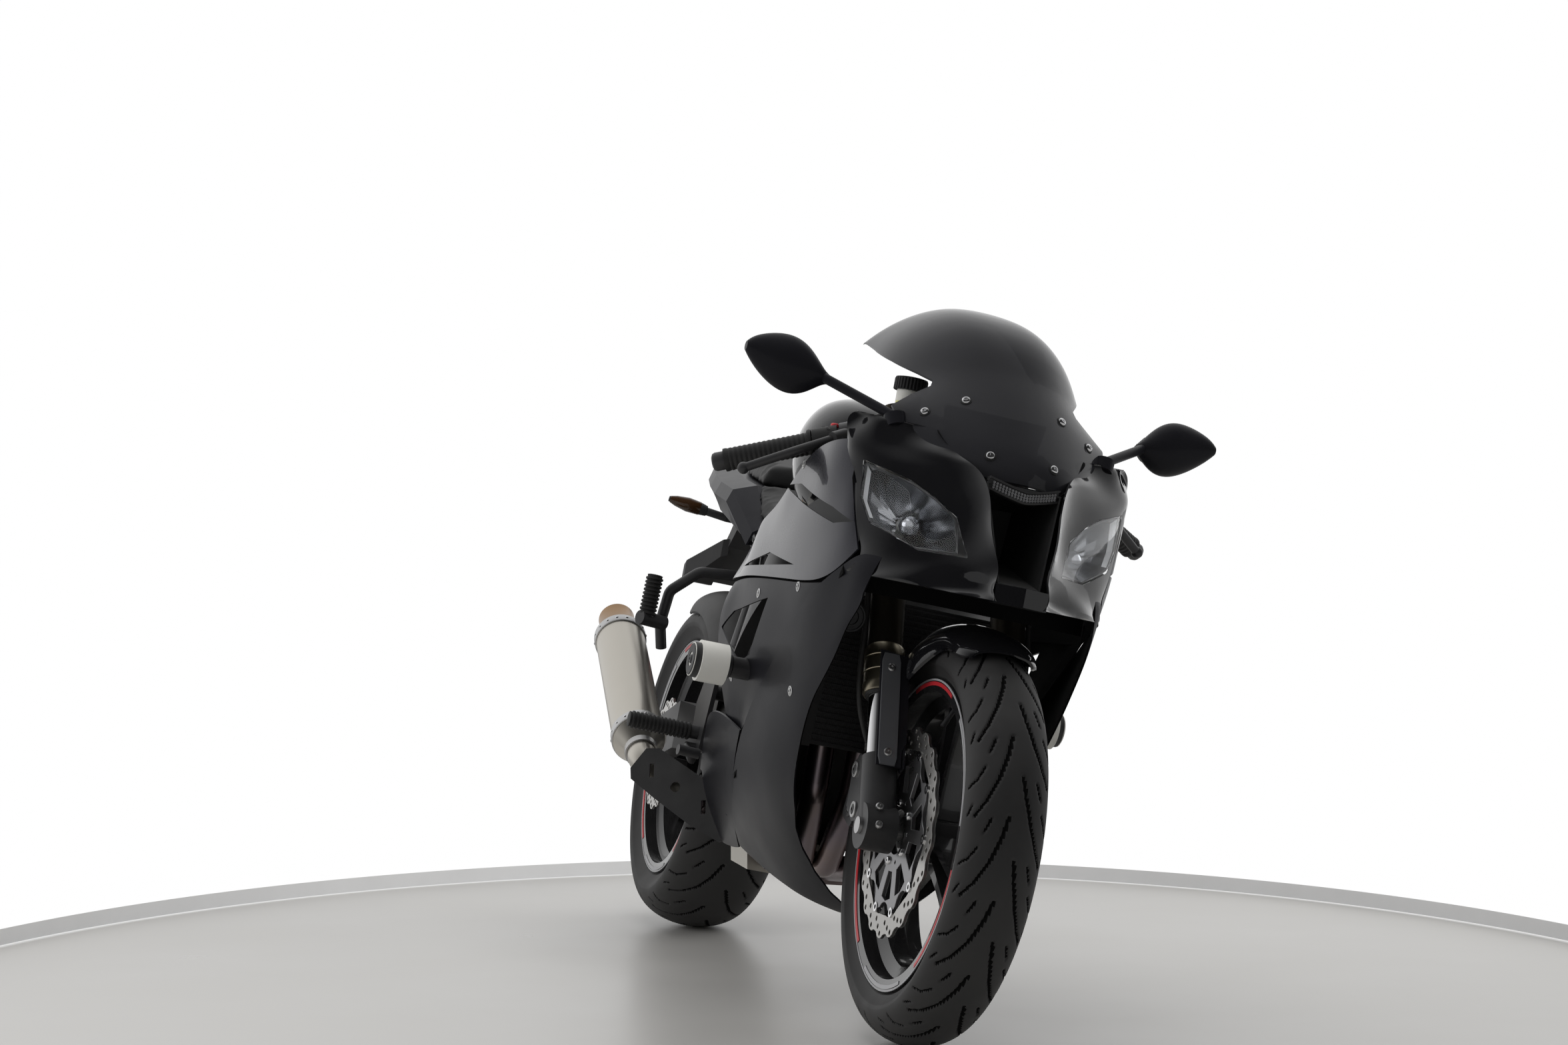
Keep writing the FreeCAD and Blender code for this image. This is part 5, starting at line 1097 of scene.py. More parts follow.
@dataclass
class Headlamps(Part):
    """Reflector bowls, bulbs and rims behind the lenses, pale strips painted as a reflection on the bowls'
    side, and the position light over the intake.
    """

    outline: tuple = ((204, 822), (150, 803), (119, 784), (90, 758), (75, 706), (130, 707), (186, 735),
                      (201, 770))
    bulb: tuple[float, float] = (128, 742)
    light_x: float = 54.0

    def _edge(self, side: Side) -> list[Vector]:
        """Places round the edge of one lens.

        Args:
            side: Which lens.

        Returns:
            The places on the lens's surface.
        """
        edge = []
        for (x0, z0), (x1, z1) in zip(self.outline, (*self.outline[1:], self.outline[0])):
            for k in range(5):
                x, z = x0 + (x1 - x0) * k / 5, z0 + (z1 - z0) * k / 5
                y = -85 + 133 * ((x - 75) / 136) ** 1.25
                edge.append(self.bench.on_skin("headlamp_lenses", (side.value * x, y, z))[0])
        return edge

    def build(self) -> None:
        """Build both lamps and the position light."""
        bowls, rims, strips, bulbs, shades = Form(20), Form(), Form(20), Form(), Form()
        for side in Side:
            edge = self._edge(side)
            middle = side.at(self.bulb[0], 0, self.bulb[1])

            def drawn(spot: Vector, share: float, deep: float) -> Vector:
                """Draw a place on the edge in towards the lamp's middle, and back."""
                return Vector((middle.x + (spot.x - middle.x) * share, spot.y + deep,
                               middle.z + (spot.z - middle.z) * share))

            rows = []
            for share, deep in ((0.985, 5), (0.95, 12), (0.86, 26), (0.7, 42), (0.5, 54), (0.3, 60),
                                (0.14, 62)):
                flute = 1.6 if 0.3 < share < 0.9 else 0.0
                rows.append([drawn(spot, share, (spot.y + 10) * (share - 1) + deep
                                   + flute * math.cos(FULL_TURN * k / 4)) for k, spot in enumerate(edge)])
            bowls.skin(rows, round_rows=True)
            rims.skin([[drawn(spot, share, deep) for spot in edge]
                       for share, deep in ((1.0, 4.2), (0.965, 4.2), (0.95, 7.5), (0.975, 9))],
                      round_rows=True)
            # Pale strips along one side of each bowl: a painted reflection in the reflector.
            strips.skin([[drawn(spot, share, deep) for share, deep in ((0.97, 6), (0.85, 9), (0.85, 10.5),
                                                                       (0.97, 7.5))]
                         for spot in (*edge[31:], edge[0])], round_rows=True, caps=True)
            seat = Vector((middle.x, 46, middle.z))
            ahead = Vector((0, -1, -0.05))
            bulbs.turned(seat, ahead, [(0, 0), (0, 12), (10, 12), (12, 8), (24, 7.4), (30, 5), (32, 0)], 24)
            shades.turned(seat, ahead, [(22, 15), (30, 15.5), (38, 12), (42, 6), (43, 0)], 30)
            for turn in (0.5, 2.6, 4.7):
                foot = spot_on_circle(seat, ACROSS, UP, 15, turn)
                shades.pipe([foot + BACK * 14, foot - BACK * 24], 1.6, 6)
        self.bench.hang_all(
            "chassis", ("lamp_bowls", bowls, LAMP_CHROME), ("lamp_rims", rims, BLACK_PLASTIC),
            ("lamp_side_strips", strips, PAINTED_REFLECTION_WHITE), ("lamp_bulbs", bulbs, WARM_BULB),
            ("lamp_shades", shades, LAMP_CHROME))
        self._position_light()

    def _line(self, share: float, drop: float, back: float) -> Vector:
        """Point near the shallow V that the position light follows.

        Args:
            share: From -1 at the right end to 1 at the left end.
            drop: Millimetres below its top edge.
            back: Millimetres behind its face.

        Returns:
            The point.
        """
        bend = abs(share)
        spot = Vector((self.light_x * share, -99 + 13 * bend**1.5 + drop * 0.1, 812 + 13 * bend**1.3 - drop))
        return spot + Vector((0, back, 0))

    def _position_light(self) -> None:
        """Build rows of small reflector cells in a dark tray."""
        tray, cells = Form(30), Form()
        section = ((-3, 14), (-3, -2), (0, -2.6), (0, 3), (13, 3), (13, -2.6), (16, -2), (16, 14))
        tray.skin([[self._line(k / 12, drop, back) for drop, back in section] for k in range(-12, 13)],
                  round_rows=True, caps=True)
        for k in range(-11, 11):
            for drop in (3.2, 7.0, 10.6):
                cells.turned(self._line((k + 0.5) / 12, drop, 1.4), Vector((0, -1, 0.05)),
                             [(1.6, 2.0), (0.8, 1.8), (-1.2, 0.7), (-1.2, 0)], 8)
        self.bench.hang_all("chassis", ("position_light_tray", tray, BLACK_PLASTIC),
                            ("position_light_cells", cells, LIGHT_CELL))


@dataclass
class Fairing(Part):
    """Screen bolts, panel screws, the nose's dark inner sheets and the dark strips behind the seams, both
    painted shade, the horn and the panels' inner faces.
    """

    horn: tuple[float, float, float] = (-164, 112, 598)
    seams: tuple = (((60, 668), (118, 639), (180, 600), (248, 550), (317, 497), (379, 450), (440, 400),
                     (520, 331)),
                    ((112, 641), (200, 640), (330, 642), (470, 644), (600, 641)))
    screen_bolts: tuple = ((78, 26.5, 937), (136, 39, 912), (53, -58, 858))
    panel_screws: tuple = (("side_panel", 222, 262, 832), ("side_panel", 214, 588, 700),
                           ("mid_panel", 236, 214, 628), ("mid_panel", 238, 404, 618),
                           ("blade_panel", 196, 210, 470), ("belly_panel", 146, 700, 380),
                           ("belly_panel", 146, 560, 392), ("belly_panel", 130, 800, 300),
                           ("mid_panel", 230, 520, 470))
    # Sections of the dark tray inside the nose, painted shade.
    tray: tuple = ((-140, 30, 662, 0), (-104, 60, 664, 2), (-62, 100, 668, 5), (-22, 132, 676, 8),
                   (14, 156, 686, 10), (44, 176, 696, 8), (62, 186, 706, 4))
    unpainted_below: float = -0.12
    # Outline of the dark wall behind the intake, painted shade.
    wall: tuple = ((-188, 78), (-150, 68), (-100, 60), (0, 57), (100, 60), (150, 68), (188, 78))

    def build(self) -> None:
        """Build the fairing's small parts."""
        bolts, washers, screws = forms(3)
        for side in Side:
            for x, y, z in self.screen_bolts:
                spot, normal = self.bench.on_skin("windscreen", (side.value * x, y - 6, z + 6))
                out = normal if normal.y < 0 else -normal
                washers.turned(spot, out, [(-0.6, 2), (-0.6, 8.6), (0.8, 8.4), (1.2, 7.4), (1.2, 2)], 24)
                bolts.bolt(spot + out * 1.2, out, 6.6, 3.8)
            for panel, x, y, z in self.panel_screws:
                spot, normal = self.bench.on_skin(f"{panel}_{side.name.lower()}",
                                                  (side.value * (x + 30), y, z))
                out = normal if normal.x * side.value > 0 else -normal
                screws.turned(spot, out, [(-1, 2), (-1, 8), (0.5, 8), (0.9, 7), (0.9, 5.6), (-0.2, 5)], 22)
                screws.bolt(spot + out * 0.2, out, 4.8, 2.2)
        self.bench.hang_all(
            "chassis", ("screen_washers", washers, SOFT_RUBBER), ("screen_bolts", bolts, POLISHED),
            ("panel_screws", screws, BARE_ALUMINIUM))
        self._shade_nose_inside()
        self._hang_horn()
        self._line_panels()
        self._shade_seams()

    def _shade_nose_inside(self) -> None:
        """Build dark sheets below, behind and beside the intake: painted shade that keeps the inside of the
        nose dark.
        """
        tray, wall, sides = Form(40), Form(40), Form(40)
        rows = []
        for y, half, z, dip in self.tray:
            row = [Vector((half * s / 6, y, z - dip * (1 - (s / 6) ** 2))) for s in range(-6, 7)]
            rows.append([p + UP * 3 for p in row] + row[::-1])
        tray.skin(rows, round_rows=True, caps=True)
        wall.skin([[Vector((x, y + thick, z)) for x, y in self.wall]
                   for thick, z in ((0, 636), (0, 708), (2, 708), (2, 636))], loop=True)
        for side in Side:
            inner = [side.at(*spot) for spot in ((57, -78, 819), (46, -104, 750), (32, -132, 674))]
            outer = [side.at(*spot) for spot in ((80, -56, 822), (72, -74, 756), (56, -104, 668))]
            sides.skin([inner, outer, [p + BACK * 3 for p in outer], [p + BACK * 3 for p in inner]],
                       loop=True)
        self.bench.hang_all("chassis", ("nose_tray", tray, UNPAINTED_AND_SHADE_BLACK), ("nose_wall", wall, UNPAINTED_AND_SHADE_BLACK),
                            ("mouth_sides", sides, UNPAINTED_AND_SHADE_BLACK))

    def _hang_horn(self) -> None:
        """Build the round horn with its rings, on a strap behind the right fork leg."""
        horn, strap = forms(2)
        centre = Vector(self.horn)
        horn.turned(centre, -BACK,
                    [(-16, 0), (-16, 17), (-8, 21), (0, 23), (4, 23), (4, 20.6), (1, 20), (1, 16.4),
                                    (4.4, 15.6), (4.4, 12.6), (1.4, 12), (1.4, 6.4), (5, 5.6), (5, 0)], 48)
        strap.plate([[(-5, 0), (5, 0), (5, 120), (-5, 120)]], 3.0, centre + BACK * 12, UP,
                    Vector((0.04, 1, 0.1)), 0.4)
        self.bench.hang_all("chassis", ("horn", horn, BLACK_CAST), ("horn_strap", strap, BLACK_CAST))

    def _line_panels(self) -> None:
        """Leave the panels' inner faces unpainted."""
        turn = self.bench.matrix.inverted().to_3x3()
        for node, thing in self.bench.nodes.items():
            if "_panel_" in node:
                outward = Vector((-1 if node.endswith("right") else 1, -0.6, 0))
            elif node == "nose_cowl":
                outward = Vector((0, -1, 0.2))
            else:
                continue
            thing.data.materials.append(self.bench.paint.get(UNPAINTED_AND_SHADE_BLACK))
            for face in thing.data.polygons:
                if (turn @ face.normal).dot(outward) < self.unpainted_below:
                    face.material_index = len(thing.data.materials) - 1

    def _shade_seams(self) -> None:
        """Build dark strips behind the seams between the panels: painted shade that keeps the gaps dark."""
        strips = Form(30)
        for side in Side:
            for seam in self.seams:
                rows = []
                for index, (y, z) in enumerate(seam):
                    (y0, z0), (y1, z1) = seam[max(index - 1, 0)], seam[min(index + 1, len(seam) - 1)]
                    run = math.hypot(y1 - y0, z1 - z0)
                    row = []
                    for wide, deep in ((-14, 6), (14, 6), (14, 8), (-14, 8)):
                        v, w = y - (z1 - z0) / run * wide, z + (y1 - y0) / run * wide
                        spot, _ = self.bench.on_skin("mid_panel_" + side.name.lower(),
                                                     (side.value * 260, v, w))
                        row.append(Vector((spot.x - side.value * deep, v, w)))
                    rows.append(row)
                strips.skin(rows, round_rows=True, caps=True)
        self.bench.hang("seam_shade_strips", strips, UNPAINTED_AND_SHADE_BLACK)


@dataclass
class Fittings(Part):
    """Bobbin caps and sleeves, mirror glass, the dash face and the filler cap."""

    bobbin: tuple[float, float, float] = (260, 432, 496)
    mirror: tuple = ((258, 944), (272, 930), (304, 917), (340, 927), (369, 949), (384, 967), (370, 983),
                     (340, 993), (305, 990), (272, 966), (259, 950))

    def build(self) -> None:
        """Build the fittings."""
        caps, bolts, sleeves, glass = forms(4)
        x, y, z = self.bobbin
        root = Vector((0, y, z))
        for side in Side:
            out = side.out
            caps.turned(root, out, [(x + 43, 24), (x + 43, 28.4), (x + 54, 27.8), (x + 57.4, 24.6),
                                    (x + 57.4, 12), (x + 52, 11), (x + 52, 0)], 48)
            bolts.bolt(root + out * (x + 52), out, 8.5, 6.5)
            sleeves.turned(root, out, [(150, 15.4), (150, 17.2), (x - 10, 17.2), (x - 8, 20), (x - 1.2, 20),
                                       (x - 1.2, 15.4)], 40)
            glass.plate([[(side.value * u, w) for u, w in self.mirror]], 1.6, Vector((0, 181.9, 0)), ACROSS,
                        UP, 0.3)
        self.bench.hang_all(
            "chassis", ("bobbin_caps", caps, BLACK_PLASTIC), ("bobbin_bolts", bolts, BLACK_CAST),
            ("bobbin_sleeves", sleeves, BLACK_CAST), ("mirror_glass", glass, MIRROR_GLASS))
        self._dash()
        self._tank()

    def _dash(self) -> None:
        """Build the rev counter with plain ticks, the dark display and the bezel."""
        face, ticks, rims = forms(3)
        up = Vector((0, -0.055, 1)).normalized()
        out = ACROSS.cross(up) * -1
        middle = Vector((0, 133.4, 906))
        face.plate([[(-66, -26), (66, -26), (70, 20), (56, 30), (-56, 30), (-70, 20)]], 2.0, middle, ACROSS,
                   up, 0.4)
        dial = middle + ACROSS * -22 + out * 1.2
        rims.turned(dial, out, [(0, 25), (2.4, 25.6), (3.0, 27), (0, 28)], 60)
        for k in range(29):
            long = 2.8 if k % 2 else 5.2
            centre = spot_on_circle(dial, ACROSS, up, 22.4 - long / 2, math.radians(220 - 260 * k / 28))
            spoke = (centre - dial).normalized()
            ticks.block(centre, spoke, spoke.cross(out), (long, 0.8, 0.5))
        ticks.block(dial + ACROSS * 6 + up * 5, ACROSS * 0.8 + up * 0.6, up * 0.8 - ACROSS * 0.6,
                    (22, 1.2, 1.0))
        for k in range(4):
            rims.block(middle + ACROSS * (30 + 10 * (k % 2)) + up * (-14 + 20 * (k // 2)) + out * 1.2, ACROSS,
                       up, (8, 14, 0.6))
        self.bench.hang_all(
            "chassis", ("dash_face", face, DISPLAY_GLASS), ("dash_ticks", ticks, WHITE_NYLON),
            ("dash_rims", rims, BARE_ALUMINIUM))

    def _tank(self) -> None:
        """Build the filler cap with its ring of screws."""
        spot, normal = self.bench.on_skin("fuel_tank", (0, 470, 980))
        out = normal if normal.z > 0 else -normal
        ring, screws = forms(2)
        ring.turned(spot, out, [(-2, 0), (-2, 38), (1.5, 38), (3, 36.6), (3, 27), (4.6, 26), (4.6, 9),
                                (3.8, 8.4), (3.8, 0)], 64)
        across, up = square_to(out)
        for k in range(7):
            screws.bolt(spot_on_circle(spot + out * 3, across, up, 31.8, FULL_TURN * k / 7), out, 3.4, 2.0)
        self.bench.hang_all("chassis", ("filler_cap", ring, BLACK_CAST),
                            ("filler_screws", screws, BARE_ALUMINIUM))


# Engine, exhaust and drive


@dataclass
class Exhaust(Part):
    """Bands, rivets, bronze end cap, bore, bellows and clamp of the exhaust."""

    low: tuple[float, float, float] = (-250, 1000, 344)
    end: tuple[float, float, float] = (-250, 1412, 558)
    band: tuple[float, float, float] = (-250, 1352, 527)
    radius: float = 47.0
    link_low: tuple[float, float, float] = (-96, 812, 229)
    link_lead: float = 80.0
    rivet_count: int = 16

    def build(self) -> None:
        """Build the exhaust's trim."""
        low, end, r = Vector(self.low), Vector(self.end), self.radius
        axis = (end - low).normalized()
        can, tip = (Vector(self.band) - low).length, (end - low).length
        across, up = square_to(axis)
        bands, rivets, cap, bore, clamp = forms(5)
        for a in (4.0, can - 24):
            bands.turned(low, axis, [(a - 0.6, r + 0.4), (a - 0.2, r + 2.2), (a + 1.4, r + 2.6),
                                     (a + 18.6, r + 2.6), (a + 20.2, r + 2.2), (a + 20.6, r + 0.4)], 80)
            for k in range(self.rivet_count):
                turn = FULL_TURN * k / self.rivet_count
                rivets.turned(spot_on_circle(low + axis * (a + 10), across, up, r + 2.4, turn),
                              across * math.cos(turn) + up * math.sin(turn),
                              [(0, 3.2), (0.9, 2.8), (1.6, 1.6), (1.8, 0)], 10)
        cap.turned(low, axis, [(can - 4, r + 1.6), (can, r - 1.5), (can + 5, 36.5), (can + 8, 35.0),
                               (tip - 3, 34.4), (tip + 1, 34.6), (tip + 2, 33), (tip + 1, 30.6),
                               (can + 2, 30.2)], 80)
        bore.turned(low, axis, [(tip - 1, 29.8), (can - 50, 29.6), (can - 54, 14), (can - 54, 0)], 48)
        rib = Form(60)
        profile = [(12, 26.6)]
        for k in range(7):
            profile += [(16 + k * 9, 27.2), (20.5 + k * 9, 30.4)]
        profile += [(80, 27.2), (82, 26.6)]
        start = Vector(self.link_low)
        rib.turned(start, low - axis * self.link_lead - start, profile, 40, hollow=True)
        clamp.turned(low - axis * 46, axis, [(0, 26.4), (0, 29.6), (15, 29.6), (15, 26.4)], 48)
        clamp.bolt(spot_on_circle(low - axis * 38, across, up, 34, 0.8), axis, 5, 6)
        self.bench.hang_all(
            "chassis", ("muffler_bands", bands, BARE_ALUMINIUM, "titanium"),
            ("muffler_rivets", rivets, POLISHED), ("muffler_end_cap", cap, BRONZE_CAP),
            ("muffler_bore", bore, SOOT), ("link_bellows", rib, TINTED_STEEL),
            ("link_clamp", clamp, BARE_ALUMINIUM))


@dataclass
class EngineTrim(Part):
    """Radiator core and the covers' rings and bolts."""

    top: tuple[float, float] = (251, 640)
    foot: tuple[float, float] = (296, 400)
    half: float = 137.0
    tube_count: int = 26
    fin_count: int = 92
    covers: tuple = ((-172, 640, 392, 80), (172, 560, 380, 70))

    def build(self) -> None:
        """Build the engine's and radiator's trim."""
        core, fins, bolts, rings = forms(4)
        up = Vector((0, self.top[0] - self.foot[0], self.top[1] - self.foot[1])).normalized()
        out = ACROSS.cross(up)
        low, height = Vector((0, *self.foot)), math.dist(self.top, self.foot)
        for k in range(self.tube_count):
            core.block(low + up * (6 + (height - 12) * k / (self.tube_count - 1)) + out * 0.5, ACROSS, up,
                       (self.half * 2, 2.4, 2.6))
        for k in range(self.fin_count):
            x = -self.half + 2 * self.half * (k + 0.5) / self.fin_count
            fins.block(low + ACROSS * x + up * (height / 2), ACROSS, up, (0.6, height - 10, 1.6))
        for x, y, z, radius in self.covers:
            face, far = Vector((math.copysign(1, x), 0, 0)), abs(x)
            rings.turned(Vector((0, y, z)), face, [(far - 6, radius - 3), (far + 2.2, radius - 3.5),
                                                   (far + 3, radius - 6), (far + 3, radius - 13),
                                                   (far + 0.6, radius - 15)], 64)
            for k in range(9):
                centre = spot_on_circle(Vector((x, y, z)), BACK, UP, radius - 9, FULL_TURN * k / 9)
                bolts.bolt(centre + face * 2.6, face, 5.2, 4.6)
        self.bench.hang_all(
            "chassis", ("radiator_tubes", core, BLACK_CAST, "black_plastic"),
            ("radiator_fins", fins, BLACK_PLASTIC), ("cover_rings", rings, ENGINE_CAST),
            ("cover_bolts", bolts, BARE_ALUMINIUM))


@dataclass
class Drive(Part):
    """Chain of separate links, toothed rear sprocket and its nuts."""

    front: tuple[float, float] = (795, 405)
    x: float = 112.0
    pitch: float = 15.875
    front_teeth: int = 17
    rear_teeth: int = 41
    link_end: float = 6.6
    link_waist: float = 4.9
    link_plate: float = 1.5
    inner_rows: tuple[float, ...] = (7.4,)
    outer_rows: tuple[float, ...] = (5.0, 6.6)

    def _radius(self, teeth: int) -> float:
        """Radius at which the pins run round a sprocket."""
        return self.pitch / 2 / math.sin(math.pi / teeth)

    def _loop(self) -> list[tuple[Vector, Vector]]:
        """Places of the chain's pins with the direction that it runs there.

        Returns:
            Places and unit directions, round the loop.
        """
        r1, r2 = self._radius(self.front_teeth), self._radius(self.rear_teeth)
        a, b = Vector((self.x, *self.front)), Vector((self.x, *REAR_AXLE))
        run = b - a
        slope, opening = math.atan2(run.z, run.y), math.acos((r1 - r2) / run.length)
        high, low = slope + opening, slope - opening
        points = []
        for centre, radius, first, last in ((b, r2, high, low), (a, r1, low, high - FULL_TURN)):
            points += [spot_on_circle(centre, BACK, UP, radius,
                                      first + (last - first) * k / 60) for k in range(61)]
        lengths = [0.0]
        for p, q in zip(points, [*points[1:], points[0]]):
            lengths.append(lengths[-1] + (q - p).length)
        count = 2 * round(lengths[-1] / self.pitch / 2)
        pins, index = [], 0
        for k in range(count):
            want = lengths[-1] * k / count
            while lengths[index + 1] < want:
                index += 1
            p, q = points[index], points[(index + 1) % len(points)]
            pins.append(p + (q - p) * ((want - lengths[index]) / (lengths[index + 1] - lengths[index])))
        return [(p, (q - p).normalized()) for p, q in zip(pins, [*pins[1:], pins[0]])]

    def build(self) -> None:
        """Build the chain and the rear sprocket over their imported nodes."""
        links, pins = forms(2)
        half = self.pitch / 2
        end = [(half + u, v) for u, v in (polar(self.link_end,
                                                math.pi * k / 6 - math.pi / 2) for k in range(7))]
        shape = [*end, (0, self.link_waist), *[(-u, -v) for u, v in end], (0, -self.link_waist)]
        for k, (spot, run) in enumerate(self._loop()):
            for offset in self.outer_rows if k % 2 else self.inner_rows:
                for sign in (-1, 1):
                    links.plate([shape], self.link_plate, spot + run * half + ACROSS * (offset * sign), run,
                                ACROSS.cross(run))
            pins.turned(spot, ACROSS,
                        [(-9, 0), (-9, 2.2), (-4, 2.2), (-4, 4.8), (4, 4.8), (4, 2.2), (9, 2.2), (9, 0)], 10)
        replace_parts(self.bench.hang("chain_links", links, CHAIN_STEEL), "chain")
        self.bench.hang("chain_pins", pins, CHAIN_STEEL)
        self._sprocket()

    def _sprocket(self) -> None:
        """Build the rear sprocket with teeth, windows and nuts."""
        r = self._radius(self.rear_teeth)
        flank = ((-0.5, r - 5), (-0.32, r - 4.2), (-0.12, r + 3.2), (0.12, r + 3.2), (0.32, r - 4.2))
        lines = [[polar(radius, FULL_TURN * (k + share) / self.rear_teeth)
                  for k in range(self.rear_teeth) for share, radius in flank], circle((0, 0), 32, 40)]
        sprocket, nuts = Form(), Form(30)
        centre = Vector((self.x, *REAR_AXLE))
        for k in range(5):
            angle = FULL_TURN * k / 5
            lines.append([polar(radius, angle + t) for radius, t in ((66, -0.42), (66, 0.42), (86, 0.36),
                                                                     (86, -0.36))])
            nuts.turned(spot_on_circle(centre, BACK, UP, 54, angle + 0.63), ACROSS,
                        [(3.5, 0), (3.5, 8.6), (10, 8.6), (11, 7.6), (11, 5), (14, 4.8), (14, 0)], 6)
        sprocket.plate(lines, 6.6, centre, BACK, UP, 0.4)
        toothed = self.bench.hang("rear_sprocket_toothed", sprocket, BARE_ALUMINIUM, "rear_wheel")
        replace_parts(toothed, "rear_sprocket")
        self.bench.hang("sprocket_nuts", nuts, BARE_ALUMINIUM, "rear_wheel")


@dataclass
class Footrests(Part):
    """Ribbed sleeves on the four pegs."""

    pegs: tuple = (((190, 880, 378.2), (300, 880, 380), 12), ((270, 1046, 568), (268, 1050, 640), 12.5))
    rib_pitch: float = 7.5

    def build(self) -> None:
        """Build the sleeves."""
        ribs = Form(30)
        for root, end, radius in self.pegs:
            for side in Side:
                start, stop = side.at(*root), side.at(*end)
                length = (stop - start).length
                count = round(length / self.rib_pitch)
                profile = [(0, radius), (0, radius + 1.6)]
                for k in range(count):
                    at = 1 + (length - 2) * k / count
                    profile += [(at, radius + 0.8), (at + 1.4, radius + 3.4), (at + 4.4, radius + 3.4),
                                (at + 5.8, radius + 0.8)]
                profile += [(length + 1.6, radius + 1.6), (length + 2.4, radius - 1), (length + 2.4, 0)]
                ribs.turned(start, stop - start, profile, 28)
        self.bench.hang("peg_sleeves", ribs, SOFT_RUBBER)


# Seats and tail


@dataclass
class Upholstery(Part):
    """Padded seats: foam under a stretched cover, pressed out by a short cloth run."""

    shrink: float = 0.985
    voxel: float = 6.0
    relax: int = 6
    swell: float = 5.0
    pressure: float = 4.0
    frames: int = 20
    quality: int = 4

    def build(self) -> None:
        """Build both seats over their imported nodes."""
        for node in ("rider_seat", "pillion_seat"):
            seat = self._pad(node)
            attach(seat, "chassis")
            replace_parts(seat, node)
            LOG.info("%s: %d faces", seat.name, len(seat.data.polygons))

    def _pad(self, node: str) -> bpy.types.Object:
        """Make one pad from its node's solid.

        Args:
            node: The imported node.

        Returns:
            The pad.
        """
        mesh = self.bench.nodes[node].data.copy()
        mesh.name = node + "_pad"
        pad = show(node + "_pad", mesh)
        low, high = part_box(node)
        middle = (low + high) / 2
        for vertex in mesh.vertices:
            vertex.co = middle + (vertex.co - middle) * self.shrink
        remesh = pad.modifiers.new("remesh", "REMESH")
        remesh.mode = "VOXEL"
        remesh.voxel_size = self.voxel * MM
        self._bake(pad)
        pad.modifiers.new("relax", "SMOOTH").iterations = self.relax
        self._bake(pad)
        self._press(pad)
        self.bench.paint.dress(pad, SEAT_COVER)
        pad.data.shade_smooth()
        rounder = pad.modifiers.new("smooth", "SUBSURF")
        rounder.levels = rounder.render_levels = 1
        return pad

    def _press(self, pad: bpy.types.Object) -> None:
        """Press the cover out from inside with a short cloth run, and keep it near its solid.

        Args:
            pad: The pad.
        """
        before = [vertex.co.copy() for vertex in pad.data.vertices]
        cloth = pad.modifiers.new("cover", "CLOTH")
        cloth.settings.quality = self.quality
        cloth.settings.use_pressure = True
        cloth.settings.uniform_pressure_force = self.pressure
        cloth.settings.effector_weights.gravity = 0.0
        scene = bpy.context.scene
        for frame in range(1, self.frames + 1):
            scene.frame_set(frame)
        self._bake(pad)
        scene.frame_set(1)
        for vertex, old in zip(pad.data.vertices, before):
            moved = vertex.co - old
            if moved.length > self.swell * MM:
                vertex.co = old + moved.normalized() * (self.swell * MM)

    def _bake(self, pad: bpy.types.Object) -> None:
        """Turn what the modifiers show into the pad's own mesh.

        Args:
            pad: The pad.
        """
        graph = bpy.context.evaluated_depsgraph_get()
        graph.update()
        made = bpy.data.meshes.new_from_object(pad.evaluated_get(graph))
        pad.modifiers.clear()
        pad.data = made


@dataclass
class Tail(Part):
    """Tail lamp cells, indicator lenses and bracket screws."""

    lamp_face: float = 1520.6

    def build(self) -> None:
        """Build the tail's small parts."""
        cells, lenses, screws = forms(3)
        for row in range(3):
            for k in range(9):
                cells.turned(Vector((-30 + 7.5 * k, self.lamp_face, 879 + row * 6.6)), BACK,
                             [(-1, 0), (-1, 2.6), (0.4, 2.4), (1.2, 1.2), (1.4, 0)], 10)
        for side in Side:
            lenses.turned(side.at(112, 1481.5, 808), side.at(66, 6, 8),
                          [(0, 11.4), (3, 13.2), (28, 14.4), (52, 10.4), (64, 6.4), (67, 0)], 24)
            for y, z in ((1500, 757), (1560, 716)):
                screws.bolt(side.at(40.2, y, z), side.out, 5, 3)
        self.bench.hang_all(
            "chassis", ("tail_lamp_cells", cells, RED_LENS), ("indicator_lenses", lenses, AMBER_LENS),
            ("bracket_screws", screws, BARE_ALUMINIUM))


# Stage, light and camera


